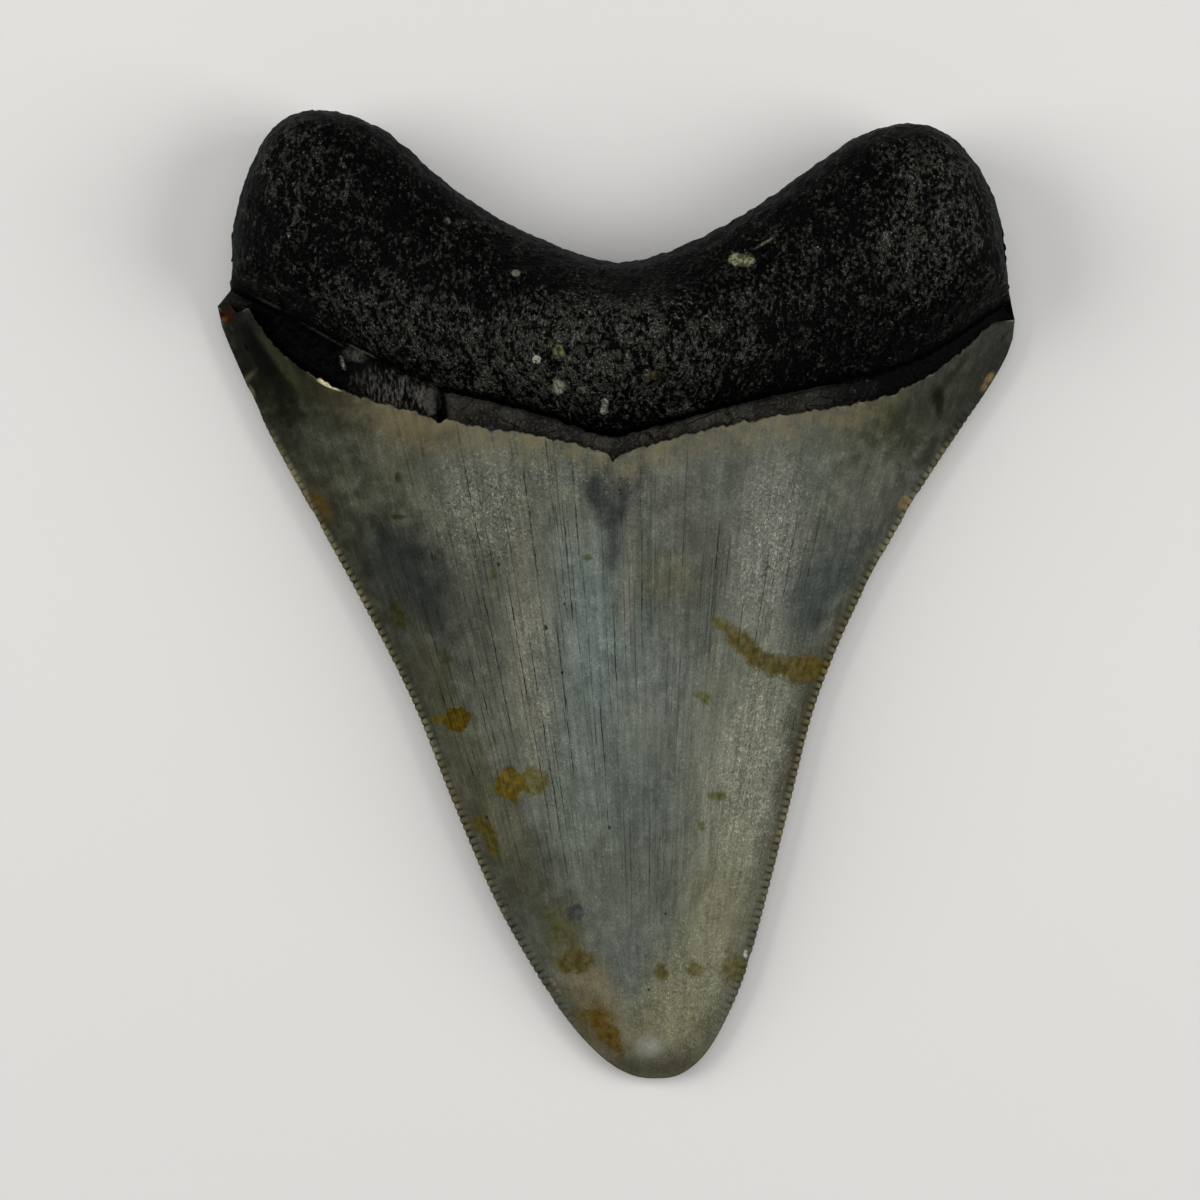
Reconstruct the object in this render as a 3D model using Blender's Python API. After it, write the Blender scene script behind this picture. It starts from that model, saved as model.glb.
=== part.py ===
"""Megalodon tooth: one fossil tooth, lying on its flat labial (outer) face.

The tooth is a single piece. Its two lobed root lies towards +Y and its tip
points to -Y, with the swollen lingual (inner) face up. Each face is a grid,
bent over four guide lines: the root's rim, the crease above the bourlette,
the enamel's upper margin and the cutting edge. The two grids are welded
along the outline.

Dimensions are in millimetres. The finished mesh is scaled to metres once.
"""

import bisect
import math

import bmesh
import bpy
from mathutils import Matrix, Vector, kdtree, noise

# ---- driving dimensions, in millimetres ----

MILLIMETRE = 0.001

# Heights over the table, with the labial face down.
ROOT_PEAK = 20.6
LOBE_HEIGHT = 13.4
RIM_HEIGHT_AT_LOBES = 6.4
RIM_HEIGHT_AT_NOTCH = 8.2
EDGE_HEIGHT = 2.1
TIP_EDGE_DROP = 0.4

# Where along Y the cutting edge drops towards the tip, and where the outline
# climbs from the crown's height to the root's. The notch is this wide.
TIP_EDGE_RUN = (-20.0, -48.0)
SHOULDER_RUN = (28.0, 33.0)
NOTCH_WIDTH = 15.0

# Radii with which the root's rim rounds over, above and below, and the inset
# from the outline over which the neck and the crown leave its height.
RIM_ROUND_ABOVE = 6.8
RIM_ROUND_BELOW = 5.6
EDGE_FADE = 2.0

# The crown's rounded face: its height at the neck, how fast it rises from the
# tip, its extra fullness near the neck, where along Y it stops following the
# outline, and how square its cross section is.
NECK_DOME = 11.6
DOME_RUN = 26.0
DOME_POWER = 0.9
NECK_FULLNESS = 0.12
FULLNESS_RISE = (-8.0, 16.0)
CROWN_END = 27.0
CROWN_SQUARENESS = 2.2
FURROW = ((0.0, 7.0), (1.5, 7.0), -0.45)

# The root's lingual face: hills and hollows as centre, spread and height.
ROOT_SWELL = ((0.0, 24.0), (18.0, 10.5), ROOT_PEAK - LOBE_HEIGHT)
ROOT_HILLS = [
    ROOT_SWELL,
    ((-33.0, 44.0), (9.0, 9.0), -0.6),
    ((26.0, 39.0), (10.0, 7.0), 0.5),
    ((22.0, 23.5), (11.0, 2.6), -0.9),
]
LUMP_HEIGHT = 0.45
LUMP_SPACING = 5.0

# Share of the way down the root where it starts to fall to the neck, and how
# late it falls.
ROOT_SHOULDER = 0.5
ROOT_FALL = 2.2
CREASE_DEPTH = 0.35

# The bourlette is broken at the left: a fragment stands there alone, and past
# it the neck has flaked. Each span is where it starts or ends along X.
BOURLETTE_RAISE = 0.45
BOURLETTE_ROUNDNESS = 0.5
BOURLETTE_START = (-18.4, -17.6)
BOURLETTE_END = (27.0, 33.0)
FRAGMENT_RAISE = 0.585
FRAGMENT_START = (-26.5, -24.5)
FRAGMENT_END = (-18.8, -18.2)
FLAKE_DEPTH = 0.7
FLAKE_END = (-28.0, -25.0)

# The enamel stands over the neck at its margin, and levels out down the crown.
ENAMEL_RAISE = 0.35
ENAMEL_STEP = 0.015
ENAMEL_LEVEL = (0.05, 0.5)
ENAMEL_EDGE_FADE = 3.0

# The labial face: its flat middle as a share of the half width, the lift of
# its tip, the hollow under the root and the two bosses that touch the table.
FLAT_SHARE = 0.34
FLANK_POWER = 2.0
TIP_LIFT = 0.9
TIP_LIFT_RUN = (-30.0, -48.0)
LABIAL_HOLLOW = 1.9
LABIAL_HOLLOW_CENTRE = (0.0, 30.0)
LABIAL_HOLLOW_SPREAD = (13.0, 9.5)
LABIAL_HOLLOW_FOOT = 0.03
ROOT_CLEARANCE = 0.55
BOSS_CENTRE = (27.0, 38.0)
BOSS_SPREAD = (9.0, 6.5)
BOSS_FLATNESS = 1.25
LABIAL_STEP = 0.35
LABIAL_STEP_FADE = 2.5
LABIAL_NECK_START = 0.62

# Serrations are worn away within these distances of the tip and, along Y,
# towards the shoulders.
SERRATION_DEPTH = 0.20
SERRATIONS_PER_COLUMN = 3
TIP_WEAR = (3.0, 9.0)
SHOULDER_WEAR = (12.0, 20.0)

# Cells of each face's grid: across, and down through its three zones.
COLUMNS = 76
ROOT_ROWS = 14
BAND_ROWS = 3
CROWN_ROWS = 10
CROWN_CROWDING = 1.35
ROWS = ROOT_ROWS + BAND_ROWS + CROWN_ROWS

# Share of the root's rows that go to its rounded rim, and what they cover.
RIM_ROWS_SHARE = 0.4
RIM_SHARE = 0.32

# ---- guide lines, left to right, seen from above ----

ROOT_RIM = [
    (-38.4, 33.6), (-38.2, 37.5), (-36.7, 42.6), (-34.4, 46.8), (-31.0, 48.6),
    (-26.8, 48.2), (-22.5, 46.2), (-17.0, 41.4), (-11.0, 37.4), (-4.5, 34.5),
    (-0.3, 33.4), (3.5, 33.9), (9.0, 36.2), (14.5, 39.4), (20.5, 43.7),
    (24.5, 46.2), (29.0, 47.3), (33.0, 46.3), (36.3, 42.8), (38.2, 38.2),
    (38.9, 33.6),
]
CREASE = [
    (-38.7, 30.7), (-35.2, 29.4), (-32.6, 28.1), (-29.6, 26.5), (-26.6, 24.9),
    (-21.7, 22.5), (-16.7, 20.3), (-11.7, 19.1), (-6.7, 17.7), (-0.8, 15.8),
    (2.0, 16.3), (8.3, 18.0), (14.3, 19.6), (23.3, 21.5), (28.3, 22.9),
    (33.0, 25.3), (36.8, 27.9), (39.6, 29.8),
]
ENAMEL_MARGIN = [
    (-40.1, 29.2), (-38.3, 28.7), (-36.9, 28.6), (-35.6, 27.0), (-34.6, 25.6),
    (-32.4, 23.5), (-30.0, 22.0), (-27.8, 20.8), (-24.0, 19.4), (-19.6, 18.2),
    (-17.7, 17.6), (-13.7, 16.8), (-7.7, 15.9), (-2.0, 14.6), (-0.4, 13.5),
    (1.2, 14.5), (8.3, 16.4), (14.3, 17.6), (20.3, 18.6), (26.3, 19.8),
    (30.3, 21.6), (33.3, 23.6), (35.8, 25.7), (37.6, 27.4), (40.1, 27.9),
]
CUTTING_EDGE = [
    (-39.7, 27.2), (-38.6, 24.5), (-35.2, 17.0), (-31.2, 9.6), (-25.7, -0.4),
    (-20.6, -10.4), (-16.6, -20.4), (-12.3, -30.4), (-8.1, -37.9),
    (-4.7, -42.9), (-1.4, -46.4), (1.4, -48.1), (3.9, -48.5), (6.4, -48.1),
    (8.8, -46.2), (10.9, -42.8), (13.0, -37.9), (15.1, -30.4), (17.6, -20.4),
    (20.2, -10.4), (24.4, -0.4), (29.9, 9.6), (34.8, 17.1), (37.3, 20.8),
    (39.1, 23.9), (39.9, 26.0),
]
LABIAL_CREASE = [
    (-38.7, 30.7), (-36.0, 29.3), (-28.0, 26.0), (-16.0, 23.0), (0.0, 21.6),
    (16.0, 23.0), (28.0, 26.0), (36.6, 29.0), (39.6, 29.8),
]
LABIAL_MARGIN = [
    (-40.1, 29.2), (-37.4, 27.4), (-28.0, 23.6), (-16.0, 20.8), (0.0, 19.4),
    (16.0, 20.8), (28.0, 23.4), (37.4, 27.0), (40.1, 27.9),
]

# Nicks in the cutting edge: centre, radius and depth.
EDGE_NICKS = [
    ((-36.3, 19.6), 1.2, 0.35),
    ((29.6, 9.3), 1.3, 0.45),
    ((25.7, 3.4), 1.4, 0.70),
    ((-30.3, 7.8), 1.0, 0.30),
    ((13.0, -36.4), 0.9, 0.30),
]

# Spacing of the points that stand for the outline when insets are measured.
OUTLINE_SPACING = 0.25

# Share of the cutting edge looked along, either way, for its direction.
EDGE_LOOK = 0.01

# Half widths under this count as this much, and grid places this near are one.
LEAST_HALF_WIDTH = 0.05
NEAR = 0.00001
WELD_DISTANCE = 0.0005


def smooth_step(low, high, value):
    """0 below low, 1 above high, and a smooth rise between them."""
    share = min(max((value - low) / (high - low), 0.0), 1.0)
    return share * share * (3.0 - 2.0 * share)


def between(rise, fall, value):
    """1 between two spans, fading over the first and again over the second."""
    return smooth_step(*rise, value) * (1.0 - smooth_step(*fall, value))


def hill(x, y, centre, radii):
    """A smooth bump of height 1 over centre that fades out past its radii."""
    dx = (x - centre[0]) / radii[0]
    dy = (y - centre[1]) / radii[1]
    return math.exp(-dx * dx - dy * dy)


def mix(start, end, share):
    return start + (end - start) * share


def read_off(places, values, place):
    """The value at a place, read along straight lines between listed ones."""
    index = min(max(bisect.bisect_right(places, place), 1), len(places) - 1)
    low, high = places[index - 1], places[index]
    share = min(max((place - low) / (high - low), 0.0), 1.0)
    return mix(values[index - 1], values[index], share)


class Guide:
    """A smooth line through a few points, read by its share of length."""

    STEPS = 10

    def __init__(self, points):
        knots = [Vector(point) for point in points]
        before = 2.0 * knots[0] - knots[1]
        after = 2.0 * knots[-1] - knots[-2]
        padded = [before] + knots + [after]
        self.points = []
        for a, b, c, d in zip(padded, padded[1:], padded[2:], padded[3:]):
            for step in range(self.STEPS):
                t = step / self.STEPS
                self.points.append(0.5 * (
                    2.0 * b + (c - a) * t
                    + (2.0 * a - 5.0 * b + 4.0 * c - d) * t ** 2
                    + (3.0 * b - a - 3.0 * c + d) * t ** 3))
        self.points.append(knots[-1])
        self.xs = [point.x for point in self.points]
        self.ys = [point.y for point in self.points]
        lengths = [0.0]
        for start, end in zip(self.points, self.points[1:]):
            lengths.append(lengths[-1] + (end - start).length)
        self.shares = [length / lengths[-1] for length in lengths]

    def at(self, share):
        return Vector((
            read_off(self.shares, self.xs, share), read_off(self.shares, self.ys, share)))


rim = Guide(ROOT_RIM)
edge = Guide(CUTTING_EDGE)
lingual_lines = (Guide(CREASE), Guide(ENAMEL_MARGIN))
labial_lines = (Guide(LABIAL_CREASE), Guide(LABIAL_MARGIN))

# The crown's two sides, from the tip up to the shoulders.
TIP = min(edge.points, key=lambda point: point.y)
left_side = [point for point in edge.points if point.x <= TIP.x][::-1]
left_side.append(Vector(ENAMEL_MARGIN[0]))
right_side = [point for point in edge.points if point.x >= TIP.x]
right_side.append(Vector(ENAMEL_MARGIN[-1]))
left_xs, left_ys = zip(*left_side)
right_xs, right_ys = zip(*right_side)


def outline_points():
    """The whole outline, with its two shoulders, as closely set points."""
    right_shoulder = [edge.points[-1], Vector(ENAMEL_MARGIN[-1]), Vector(CREASE[-1])]
    left_shoulder = [Vector(CREASE[0]), Vector(ENAMEL_MARGIN[0])]
    loop = right_shoulder + rim.points[::-1] + left_shoulder + edge.points
    points = []
    for start, end in zip(loop, loop[1:]):
        count = max(1, math.ceil((end - start).length / OUTLINE_SPACING))
        points += [start.lerp(end, step / count).to_3d() for step in range(count)]
    return points


def outline_tree(points):
    """The points in a tree that finds the nearest one."""
    tree = kdtree.KDTree(len(points))
    for number, point in enumerate(points):
        tree.insert(point, number)
    tree.balance()
    return tree


outline = outline_tree(outline_points())


def across_crown(x, y):
    """-1 at the left cutting edge, 0 midway and 1 at the right edge."""
    left = read_off(left_ys, left_xs, y)
    right = read_off(right_ys, right_xs, y)
    half = max((right - left) / 2.0, LEAST_HALF_WIDTH)
    return min(max((x - (left + right) / 2.0) / half, -1.0), 1.0)


# ---- heights ----

def outline_height(x, y):
    """Height of the line where the two faces meet."""
    crown = EDGE_HEIGHT - TIP_EDGE_DROP * smooth_step(*TIP_EDGE_RUN, y)
    notch = math.exp(-(x / NOTCH_WIDTH) ** 2)
    root = mix(RIM_HEIGHT_AT_LOBES, RIM_HEIGHT_AT_NOTCH, notch)
    return mix(crown, root, smooth_step(*SHOULDER_RUN, y))


def rounded_in(inset, radius):
    """Share of the full height at an inset from a rim rounded to a radius."""
    return math.sqrt(1.0 - (1.0 - min(inset / radius, 1.0)) ** 2)


def crown_lingual(x, y):
    """The crown's rounded inner face, carried on a little under the root."""
    across = abs(across_crown(x, y))
    dome = NECK_DOME * (1.0 - math.exp((TIP.y - y) / DOME_RUN)) ** DOME_POWER
    dome *= 1.0 + NECK_FULLNESS * smooth_step(*FULLNESS_RISE, y)
    swell = dome * (1.0 - across ** CROWN_SQUARENESS)
    centre, radii, height = FURROW
    base = outline_height(x, min(y, CROWN_END))
    return base + swell + height * hill(x, y, centre, radii)


def root_lingual(x, y):
    """The root's swollen inner face, before its rim is rounded."""
    hills = sum(height * hill(x, y, centre, radii) for centre, radii, height in ROOT_HILLS)
    lumps = LUMP_HEIGHT * noise.noise(Vector((x, y, 0.0)) / LUMP_SPACING)
    return LOBE_HEIGHT + hills + lumps


def band_lingual(x, y, share):
    """The bourlette, its broken left end and the bare hollow beside it."""
    ridge = math.sin(math.pi * min(max(share, 0.0), 1.0)) ** BOURLETTE_ROUNDNESS
    bourlette = BOURLETTE_RAISE * between(BOURLETTE_START, BOURLETTE_END, x)
    fragment = FRAGMENT_RAISE * between(FRAGMENT_START, FRAGMENT_END, x)
    flaked = FLAKE_DEPTH * (1.0 - smooth_step(*FLAKE_END, x))
    return crown_lingual(x, y) + ridge * (max(bourlette, fragment) - flaked)


def lingual_height(x, y, zone, share, inset):
    """Height of the upper face, in the named zone, at inset from the outline."""
    base = outline_height(x, y)
    if zone == "crown":
        lift = ENAMEL_RAISE * between((0.0, ENAMEL_STEP), ENAMEL_LEVEL, share)
        return crown_lingual(x, y) + lift * smooth_step(0.0, ENAMEL_EDGE_FADE, inset)
    settled = smooth_step(0.0, EDGE_FADE, inset)
    if zone == "band":
        return mix(base, band_lingual(x, y, share), settled)
    full = mix(base, root_lingual(x, y), rounded_in(inset, RIM_ROUND_ABOVE))
    neck = mix(base, band_lingual(x, y, 0.0) - CREASE_DEPTH, settled)
    return mix(full, neck, max(share / ROOT_SHOULDER - 1.0, 0.0) ** ROOT_FALL)


def labial_height(x, y, zone, share, inset):
    """Height of the lower face, which has real flats that touch the table."""
    base = outline_height(x, y)
    across = abs(across_crown(x, y))
    flank = max((across - FLAT_SHARE) / (1.0 - FLAT_SHARE), 0.0) ** FLANK_POWER
    crown = mix(TIP_LIFT * smooth_step(*TIP_LIFT_RUN, y), base, flank)
    hollow = max(hill(x, y, LABIAL_HOLLOW_CENTRE, LABIAL_HOLLOW_SPREAD) - LABIAL_HOLLOW_FOOT, 0.0)
    hollow *= LABIAL_HOLLOW
    if zone == "crown":
        return crown + hollow * (1.0 - flank)
    step = LABIAL_STEP * smooth_step(0.0, LABIAL_STEP_FADE, inset)
    neck = mix(base, crown, smooth_step(0.0, EDGE_FADE, inset)) + hollow * (1.0 - flank)
    if zone == "band":
        return neck + step * (1.0 - share)
    bosses = min(BOSS_FLATNESS * hill(abs(x), y, BOSS_CENTRE, BOSS_SPREAD), 1.0)
    root = ROOT_CLEARANCE * (1.0 - bosses) + hollow
    full = mix(base, root, rounded_in(inset, RIM_ROUND_BELOW))
    return mix(full, neck + step, smooth_step(LABIAL_NECK_START, 1.0, share))


# ---- the grids ----

def root_share(row):
    """How far down the root a row lies, with rows crowded round its rim."""
    down = row / ROOT_ROWS
    if down < RIM_ROWS_SHARE:
        return RIM_SHARE * (1.0 - math.cos(down / RIM_ROWS_SHARE * math.pi / 2.0))
    return mix(RIM_SHARE, 1.0, (down - RIM_ROWS_SHARE) / (1.0 - RIM_ROWS_SHARE))


def zone_of(row):
    """The zone that a row lies in, and how far down that zone it is."""
    if row <= ROOT_ROWS:
        return "root", root_share(row)
    if row <= ROOT_ROWS + BAND_ROWS:
        return "band", (row - ROOT_ROWS) / BAND_ROWS
    down = row - ROOT_ROWS - BAND_ROWS
    if down <= 1.0:
        return "crown", ENAMEL_STEP * down
    left_over = 1.0 - (down - 1.0) / (CROWN_ROWS - 1)
    return "crown", mix(1.0, ENAMEL_STEP, left_over ** CROWN_CROWDING)


def plan_point(u, zone, share, lines):
    """Where a grid point lies, seen from above."""
    crease, margin = lines
    if zone == "root":
        return rim.at(u).lerp(crease.at(u), share)
    if zone == "band":
        return crease.at(u).lerp(margin.at(u), share)
    return margin.at(u).lerp(edge.at(u), share)


def notched(point, u):
    """A point on the cutting edge, pulled in for serrations and nicks."""
    valley = 0.5 + 0.5 * math.cos(2.0 * math.pi * u * COLUMNS * SERRATIONS_PER_COLUMN)
    kept = smooth_step(*TIP_WEAR, point.y - TIP.y) * (1.0 - smooth_step(*SHOULDER_WEAR, point.y))
    depth = SERRATION_DEPTH * valley * kept
    for centre, radius, nick in EDGE_NICKS:
        depth += nick * hill(point.x, point.y, centre, (radius, radius))
    along = edge.at(min(u + EDGE_LOOK, 1.0)) - edge.at(max(u - EDGE_LOOK, 0.0))
    inward = Vector((-along.y, along.x)).normalized()
    return point + depth * inward


def face_grid(name, lines, height):
    """One face of the tooth, as a grid bent to shape, on a mesh of its own."""
    grid = bmesh.new()
    bmesh.ops.create_grid(grid, x_segments=COLUMNS, y_segments=ROWS, size=0.5)
    bottom = [e for e in grid.edges if all(vert.co.y < NEAR - 0.5 for vert in e.verts)]
    bmesh.ops.subdivide_edges(grid, edges=bottom, cuts=2 * SERRATIONS_PER_COLUMN - 1)
    for vert in grid.verts:
        u = vert.co.x + 0.5
        row = round((0.5 - vert.co.y) * ROWS, 3)
        zone, share = zone_of(row)
        flat = plan_point(u, zone, share, lines)
        if row in (0, ROWS) or u < NEAR or u > 1.0 - NEAR:
            z = outline_height(flat.x, flat.y)
        else:
            inset = outline.find(flat.to_3d())[2]
            z = height(flat.x, flat.y, zone, share, inset)
        if row == ROWS:
            flat = notched(flat, u)
        vert.co = (flat.x, flat.y, z)
    face = bpy.data.meshes.new(name)
    grid.to_mesh(face)
    grid.free()
    return face


def build_tooth():
    """Two bent grids, welded along the outline, as one closed body."""
    mesh = bmesh.new()
    mesh.from_mesh(face_grid("labial_face", labial_lines, labial_height))
    bmesh.ops.reverse_faces(mesh, faces=mesh.faces)
    mesh.from_mesh(face_grid("lingual_face", lingual_lines, lingual_height))
    bmesh.ops.remove_doubles(mesh, verts=mesh.verts, dist=WELD_DISTANCE)
    bmesh.ops.triangulate(mesh, faces=mesh.faces)
    bmesh.ops.recalc_face_normals(mesh, faces=mesh.faces)

    # The origin lies on the table, under the middle of the tooth's box.
    low = Vector([min(v.co[axis] for v in mesh.verts) for axis in range(3)])
    high = Vector([max(v.co[axis] for v in mesh.verts) for axis in range(3)])
    middle = (low + high) / 2.0
    bmesh.ops.translate(mesh, verts=mesh.verts, vec=(-middle.x, -middle.y, -low.z))
    bmesh.ops.transform(mesh, verts=mesh.verts, matrix=Matrix.Scale(MILLIMETRE, 4))
    return mesh


def principled(name, colour, roughness):
    material = bpy.data.materials.new(name)
    material.use_nodes = True
    shader = material.node_tree.nodes["Principled BSDF"]
    shader.inputs["Base Color"].default_value = (*colour, 1.0)
    shader.inputs["Roughness"].default_value = roughness
    shader.inputs["Metallic"].default_value = 0.0
    return material


for leftover in list(bpy.data.objects):
    bpy.data.objects.remove(leftover)

collection = bpy.data.collections.new("megalodon_tooth")
bpy.context.scene.collection.children.link(collection)

tooth_mesh = bpy.data.meshes.new("tooth")
tooth_bmesh = build_tooth()
tooth_bmesh.to_mesh(tooth_mesh)
tooth_bmesh.free()
tooth_mesh.shade_smooth()
tooth_mesh.materials.append(principled("fossil_enamel", (0.20, 0.21, 0.18), 0.38))

tooth = bpy.data.objects.new("tooth", tooth_mesh)
collection.objects.link(tooth)
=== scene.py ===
"""A fossil megalodon tooth on a pale studio floor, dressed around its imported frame.

The tooth's own dimensions are in millimetres, and its mesh is scaled to metres
once. The floor, the lights and the camera are in metres.
"""

import bisect
import math

import bmesh
import bpy
from mathutils import Matrix, Vector, kdtree, noise


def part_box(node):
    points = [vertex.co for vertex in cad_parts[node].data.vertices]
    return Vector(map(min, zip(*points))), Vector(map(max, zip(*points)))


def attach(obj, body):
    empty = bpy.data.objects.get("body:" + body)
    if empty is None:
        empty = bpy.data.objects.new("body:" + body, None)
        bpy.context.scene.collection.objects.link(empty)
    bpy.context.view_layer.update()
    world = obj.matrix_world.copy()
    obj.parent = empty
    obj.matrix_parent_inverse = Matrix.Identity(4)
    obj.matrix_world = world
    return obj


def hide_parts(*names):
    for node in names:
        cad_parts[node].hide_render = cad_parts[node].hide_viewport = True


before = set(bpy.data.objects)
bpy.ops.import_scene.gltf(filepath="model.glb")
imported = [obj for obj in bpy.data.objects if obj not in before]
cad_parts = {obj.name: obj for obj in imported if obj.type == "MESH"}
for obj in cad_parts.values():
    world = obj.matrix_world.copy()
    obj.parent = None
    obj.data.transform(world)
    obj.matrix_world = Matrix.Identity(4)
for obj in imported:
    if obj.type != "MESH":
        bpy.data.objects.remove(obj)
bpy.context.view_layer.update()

# ---- The tooth ----
# One tooth, grown as a single body: a two lobed root of rough black bone, a thin
# ribbon of smooth dark enamel at its neck, and a crown of polished enamel. It
# lies on its flat labial face. Each face is a grid, bent over four guide lines.

METRES = 0.001
LOW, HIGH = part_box("tooth")
PEAK_OVER_CAD = 0.30

ROOT_PEAK = (HIGH[2] - LOW[2]) / METRES - PEAK_OVER_CAD
LOBE_HEIGHT = 13.4
RIM_HEIGHT_AT_LOBES = 6.4
RIM_HEIGHT_AT_NOTCH = 8.2
EDGE_HEIGHT = 2.1
NECK_DOME = 11.6
RIM_ROUND_ABOVE = 6.8
RIM_ROUND_BELOW = 5.6
ROOT_SHOULDER = 0.5

# Cells of each face's grid: across, and down through its zones.
SERRATIONS = 228
ROOT_ROWS = 28
BAND_ROWS = 6
LIP_ROWS = 4
BODY_ROWS = 22
STRIP_ROWS = 6
ROWS = ROOT_ROWS + BAND_ROWS + LIP_ROWS + BODY_ROWS + STRIP_ROWS
BAND_START = ROOT_ROWS
MARGIN = BAND_START + BAND_ROWS
LIP_END = MARGIN + LIP_ROWS
STRIP_START = LIP_END + BODY_ROWS

# How far below the enamel's margin, and in from the cutting edge, rows lie.
LIP_DEPTHS = [0.0, 0.10, 0.25, 0.55, 1.10]
STRIP_INSETS = [1.7, 1.2, 0.85, 0.55, 0.30, 0.12, 0.0]

# Guide lines, left to right, seen from above.
ROOT_RIM = [
    (-38.4, 33.6), (-38.2, 37.5), (-36.7, 42.6), (-34.4, 46.8), (-31.0, 48.6),
    (-26.8, 48.2), (-22.5, 46.2), (-17.0, 41.4), (-11.0, 37.4), (-4.5, 34.5),
    (-0.3, 33.4), (3.5, 33.9), (9.0, 36.2), (14.5, 39.4), (20.5, 43.7),
    (24.5, 46.2), (29.0, 47.3), (33.0, 46.3), (36.3, 42.8), (38.2, 38.2),
    (38.9, 33.6),
]
CREASE = [
    (-38.7, 30.7), (-35.2, 29.4), (-32.6, 28.1), (-29.6, 26.5), (-26.6, 24.9),
    (-21.7, 22.5), (-16.7, 20.3), (-11.7, 19.1), (-6.7, 17.7), (-0.8, 15.8),
    (2.0, 16.3), (8.3, 18.0), (14.3, 19.6), (23.3, 21.5), (28.3, 22.9),
    (33.0, 25.3), (36.8, 27.9), (39.6, 29.8),
]
ENAMEL_MARGIN = [
    (-40.1, 29.2), (-39.4, 29.75), (-38.95, 29.8), (-38.45, 28.8), (-37.9, 28.6),
    (-37.1, 28.9), (-36.4, 28.3), (-35.6, 27.0), (-34.6, 25.6), (-32.4, 23.5),
    (-30.0, 22.0), (-27.8, 20.8), (-24.0, 19.4), (-19.6, 18.2), (-18.2, 17.7),
    (-17.5, 17.1), (-16.7, 17.5), (-13.7, 16.8), (-7.7, 15.9), (-1.4, 14.3),
    (-0.4, 13.4), (0.7, 14.2), (8.3, 16.4), (14.3, 17.6), (20.3, 18.6),
    (26.3, 19.8), (30.3, 21.6), (33.3, 23.6), (35.8, 25.7), (37.6, 27.4),
    (40.1, 27.9),
]
CUTTING_EDGE = [
    (-39.7, 27.2), (-38.6, 24.5), (-35.2, 17.0), (-31.2, 9.6), (-25.7, -0.4),
    (-20.6, -10.4), (-16.6, -20.4), (-12.3, -30.4), (-8.1, -37.9),
    (-4.7, -42.9), (-1.4, -46.4), (1.4, -48.1), (3.9, -48.5), (6.4, -48.1),
    (8.8, -46.2), (10.9, -42.8), (13.0, -37.9), (15.1, -30.4), (17.6, -20.4),
    (20.2, -10.4), (24.4, -0.4), (29.9, 9.6), (34.8, 17.1), (37.3, 20.8),
    (39.1, 23.9), (39.9, 26.0),
]
LABIAL_CREASE = [
    (-38.7, 30.7), (-36.0, 29.3), (-28.0, 26.0), (-16.0, 23.0), (0.0, 21.6),
    (16.0, 23.0), (28.0, 26.0), (36.6, 29.0), (39.6, 29.8),
]
LABIAL_MARGIN = [
    (-40.1, 29.2), (-37.4, 27.4), (-28.0, 23.6), (-16.0, 20.8), (0.0, 19.4),
    (16.0, 20.8), (28.0, 23.4), (37.4, 27.0), (40.1, 27.9),
]

# The serrations: how far each notch cuts into the edge, how deep its groove
# runs on the upper face, and how much of them is worn off either shoulder. The
# edge's direction is read over a short step.
NOTCH_DEPTH = 0.16
GROOVE_DEPTH = 0.30
WORN_LEFT = 0.55
WORN_RIGHT = 0.3
EDGE_STEP = 0.006

# Nicks in the cutting edge: centre, radius and depth.
EDGE_NICKS = [
    ((-36.3, 19.6), 1.0, 0.30),
    ((29.6, 9.3), 0.9, 0.40),
    ((25.7, 3.4), 0.8, 0.75),
    ((24.9, 1.6), 0.6, 0.35),
    ((-30.3, 7.8), 0.7, 0.25),
    ((13.0, -36.4), 0.6, 0.25),
    ((-6.2, -39.7), 0.6, 0.20),
]


def smooth_step(low, high, value):
    """0 below low, 1 above high, and a smooth rise between them."""
    share = min(max((value - low) / (high - low), 0.0), 1.0)
    return share * share * (3.0 - 2.0 * share)


def hill(x, y, centre, radii):
    """A smooth bump of height 1 over centre that fades out past its radii."""
    dx = (x - centre[0]) / radii[0]
    dy = (y - centre[1]) / radii[1]
    return math.exp(-dx * dx - dy * dy)


def mix(start, end, share):
    """A value a share of the way from start to end."""
    return start + (end - start) * share


def read_off(places, values, place):
    """The value at a place, read along straight lines between listed ones."""
    index = min(max(bisect.bisect_right(places, place), 1), len(places) - 1)
    low, high = places[index - 1], places[index]
    share = min(max((place - low) / (high - low), 0.0), 1.0)
    return mix(values[index - 1], values[index], share)


def rough(x, y, seed, spacing):
    """Smooth unevenness between about -1 and 1, with bumps about spacing apart."""
    return noise.noise(Vector((x / spacing, y / spacing, seed)))


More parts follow.
